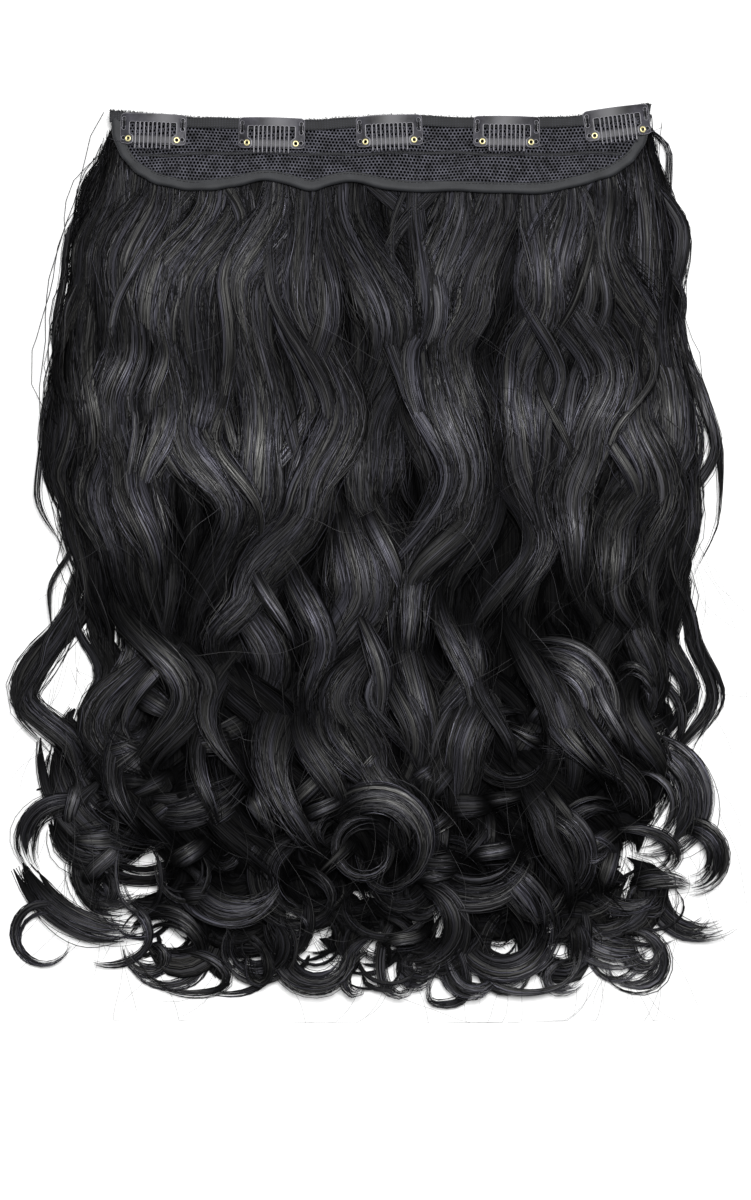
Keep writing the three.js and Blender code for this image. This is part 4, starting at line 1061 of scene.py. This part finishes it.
def buildPlates():
    h, top, w = comb["half"], comb["top"], comb["windowHalf"]
    ex, ey = comb["eyeletX"], comb["eyeletY"]
    foot = [(h, ey - 2.3, 2), (ex + 1.6, ey - 2.3, 0.8), (ex + 0.6, ey - 2.6, 0.8), (ex - 2.3, ey - 2.2, 1.4),
            (ex - 2.4, ey + 1.6, 1), (w, ey + 2.6, 0.6)]
    points = [(-h, top, 2.2), (h, top, 2.2)] + foot
    right = w
    for i in range(comb["teeth"] + 1):
        middle = ((comb["teeth"] - 1) / 2 - i) * comb["pitch"]
        left = middle + comb["toothWide"] / 2 if i < comb["teeth"] else -w
        points += [(right, comb["windowTop"], 0.55), (left, comb["windowTop"], 0.55)]
        if i < comb["teeth"]:
            right = middle - comb["toothWide"] / 2
            points += [(left - 0.08, comb["toothEnd"], 0.15), (right + 0.08, comb["toothEnd"], 0.15)]
    outlines = [rounded(points + [(-x, y, r) for x, y, r in foot[::-1]])]
    for side in (-1, 1):
        outlines.append(doubleHole(side * comb["slotX"], comb["slotY"], comb["slotWide"] / 2, comb["slotApart"]))
        outlines.append(circle(side * comb["slotX"], ey + 0.4, comb["slotWide"] / 2))
        outlines.append(circle(side * ex, ey, comb["hole"]))
    plate = sheetShape("plate", outlines, comb["thick"], comb["edge"])
    # Faces of the bevel take the lighter rim colour, a painted highlight
    rimHighlightFaces = [int(0.1 < f.normal.z < 0.97) for f in plate.data.polygons]
    co = meshCo(plate)
    lean = np.where(co[:, 1] < comb["windowTop"] - 3, 0.25 * (comb["windowTop"] - 3 - co[:, 1]) / 9, 0)
    inside = np.abs(co[:, 0]) < comb["windowHalf"] - 0.4
    co[:, 2] += bow(co[:, 0]) + comb["thick"] / 2 - np.where(inside, lean, 0)
    setCo(plate.data, co)
    balls = []
    for i in range(comb["teeth"]):
        x = ((comb["teeth"] - 1) / 2 - i) * comb["pitch"]
        bpy.ops.mesh.primitive_uv_sphere_add(segments=10, ring_count=7, radius=comb["ball"] * mm,
                                             location=(x * mm, (comb["toothEnd"] - 0.1) * mm, (bow(x) + 0.05) * mm))
        bpy.ops.object.transform_apply(location=True, rotation=True, scale=True)
        balls.append(bpy.context.object)
    pickOnly(plate, *balls)
    bpy.ops.object.join()
    rimHighlightFaces += [0] * (len(plate.data.polygons) - len(rimHighlightFaces))
    for finish in ("comb", "rimHighlight"):
        plate.data.materials.append(finishes[finish])
    plate.data.polygons.foreach_set("material_index", rimHighlightFaces)
    copyToCombs(plate, "clip_plate", "comb_{}", ["comb", "rimHighlight"], "comb")


def barHeight(x):
    return 0.4 + 0.5 * np.maximum(0, 1 - (x / comb["eyeletX"]) ** 2)


def buildBars():
    ex, ey, wide = comb["eyeletX"], comb["eyeletY"], comb["barWide"] / 2
    upper = [(-ex - 2.1, 2, 1.7), (-ex + 2, 2, 1.4), (-ex + 3, wide, 0.5), (ex - 3, wide, 0.5), (ex - 2, 2, 1.4),
             (ex + 2.1, 2, 1.7)]
    points = [(x, ey + y, r) for x, y, r in upper] + [(x, ey - y, r) for x, y, r in upper[::-1]]
    holes = [circle(side * ex, ey, comb["hole"]) for side in (-1, 1)]
    bar = sheetShape("bar", [rounded(points)] + holes, comb["barThick"], comb["barEdge"])
    co = meshCo(bar)
    co[:, 2] += barHeight(co[:, 0]) + comb["barThick"] / 2
    setCo(bar.data, co)
    copyToCombs(bar, "clip_bar", "bar_{}", ["comb"], "comb")


def buildSleeves():
    half, wide, ey = comb["sleeveHalf"], comb["sleeveWide"] / 2, comb["eyeletY"]
    sides, count = 20, 40
    angle = np.linspace(0, 2 * math.pi, sides, endpoint=False)
    across = np.sign(np.cos(angle)) * np.abs(np.cos(angle)) ** 0.5 * wide
    tall = np.sign(np.sin(angle)) * np.abs(np.sin(angle)) ** 0.6 * 0.95
    rings = [np.stack([np.full(sides, x), ey + across, barHeight(x) + 0.3 + tall - 0.12 * (i % 2)], axis=-1)
             for i, x in enumerate(np.linspace(-half, half, count))]
    index = np.arange(sides * count).reshape(count, sides)
    a, d = index[:-1], index[1:]
    faces = np.stack([a, d, np.roll(d, -1, axis=1), np.roll(a, -1, axis=1)], axis=-1).reshape(-1, 4).tolist()
    faces += [index[0].tolist(), index[-1, ::-1].tolist()]
    mesh = bpy.data.meshes.new("sleeve")
    mesh.from_pydata((np.concatenate(rings) * mm).tolist(), [], faces)
    copyToCombs(linked("sleeve", mesh), "clip_sleeve", "grip_{}", ["grip"], "grip")


def buildEyelets():
    for side, word in ((-1, "left"), (1, "right")):
        x = side * comb["eyeletX"]
        slope = -math.atan(-2 * comb["rise"] * x / comb["half"] ** 2)
        bpy.ops.mesh.primitive_torus_add(
            major_radius=comb["ring"] * mm, minor_radius=comb["ringWire"] * mm, major_segments=28, minor_segments=12,
            location=(x * mm, comb["eyeletY"] * mm, (bow(x) + comb["thick"] + 0.22) * mm), rotation=(0, slope, 0))
        bpy.ops.object.transform_apply(location=True, rotation=True, scale=True)
        copyToCombs(bpy.context.object, f"clip_eyelet_{word}", "eyelet_{}_" + word, ["brass"], "brass")


# Thread through the sewing slots
def buildClipThread():
    batch = newBatch()
    for row in combRows:
        for side in (-1, 1):
            for k in range(9):
                y = comb["slotY"] + (k - 2.5) * 0.42 if k < 6 else comb["eyeletY"] + 0.4 + (k - 7) * 0.45
                across = np.linspace(-1, 1, 9) * (1.15 if k < 6 else 0.8)
                x = side * comb["slotX"] + across
                z = bow(x) + comb["thick"] + 0.1 - 1.1 * np.cos(across / 1.15 * math.pi / 2) ** 2 + 0.1 * (k % 2)
                co = setOnBase(np.stack([x, y + 0.1 * across * side, z], axis=-1), row)
                co -= [placing["x"], placing["y"], 0]
                radius = np.full((1, 9), comb["thread"])
                addTubes(batch, co[None], radius, radius, ringOf(6), radius * 0, radius * 0 + np.linspace(0, 3, 9),
                         radius * 0 + 1)
    makePiece("clip_thread", batch, finishes["thread"], slotName="tape")


buildPlates()
buildBars()
buildSleeves()
buildEyelets()
buildClipThread()

# Floor, light and camera
studio = {
    "floor": 6.0, "key": 50.5, "keySize": 0.6, "keyPlace": (0.12, 0.3, 1.9), "world": 0.12,
    "lens": 100, "sensor": 36, "wide": 0.582, "centre": (0.0033, -0.0205), "reference": 0.012,
}

bpy.ops.mesh.primitive_plane_add(size=studio["floor"], location=(0, 0, 0))
floor = bpy.context.object
floor.name = "floor"
paper, *rest = newMaterial("paper", {"Base Color": (0.92, 0.92, 0.92, 1), "Roughness": 0.9})
floor.data.materials.append(paper)

world = bpy.data.worlds.new("studio")
bpy.context.scene.world = world
world.use_nodes = True
world.node_tree.nodes["Background"].inputs["Color"].default_value = (1, 1, 1, 1)
world.node_tree.nodes["Background"].inputs["Strength"].default_value = studio["world"]

bpy.ops.object.light_add(type="AREA", location=studio["keyPlace"])
key = bpy.context.object
key.data.size = studio["keySize"]
key.data.energy = studio["key"]
keyX, keyY, keyZ = studio["keyPlace"]
key.rotation_euler = (-math.atan(keyY / keyZ), math.atan(keyX / keyZ), 0)

bpy.ops.object.camera_add()
camera = bpy.context.object
camera.data.lens = studio["lens"]
camera.data.sensor_width = studio["sensor"]
distance = studio["lens"] / studio["sensor"] * studio["wide"]
camera.location = (*studio["centre"], distance + studio["reference"])
camera.data.clip_end = 20
bpy.context.scene.camera = camera
bpy.context.scene.view_settings.view_transform = "Standard"
bpy.context.scene.view_settings.look = "None"

print("stage: done")
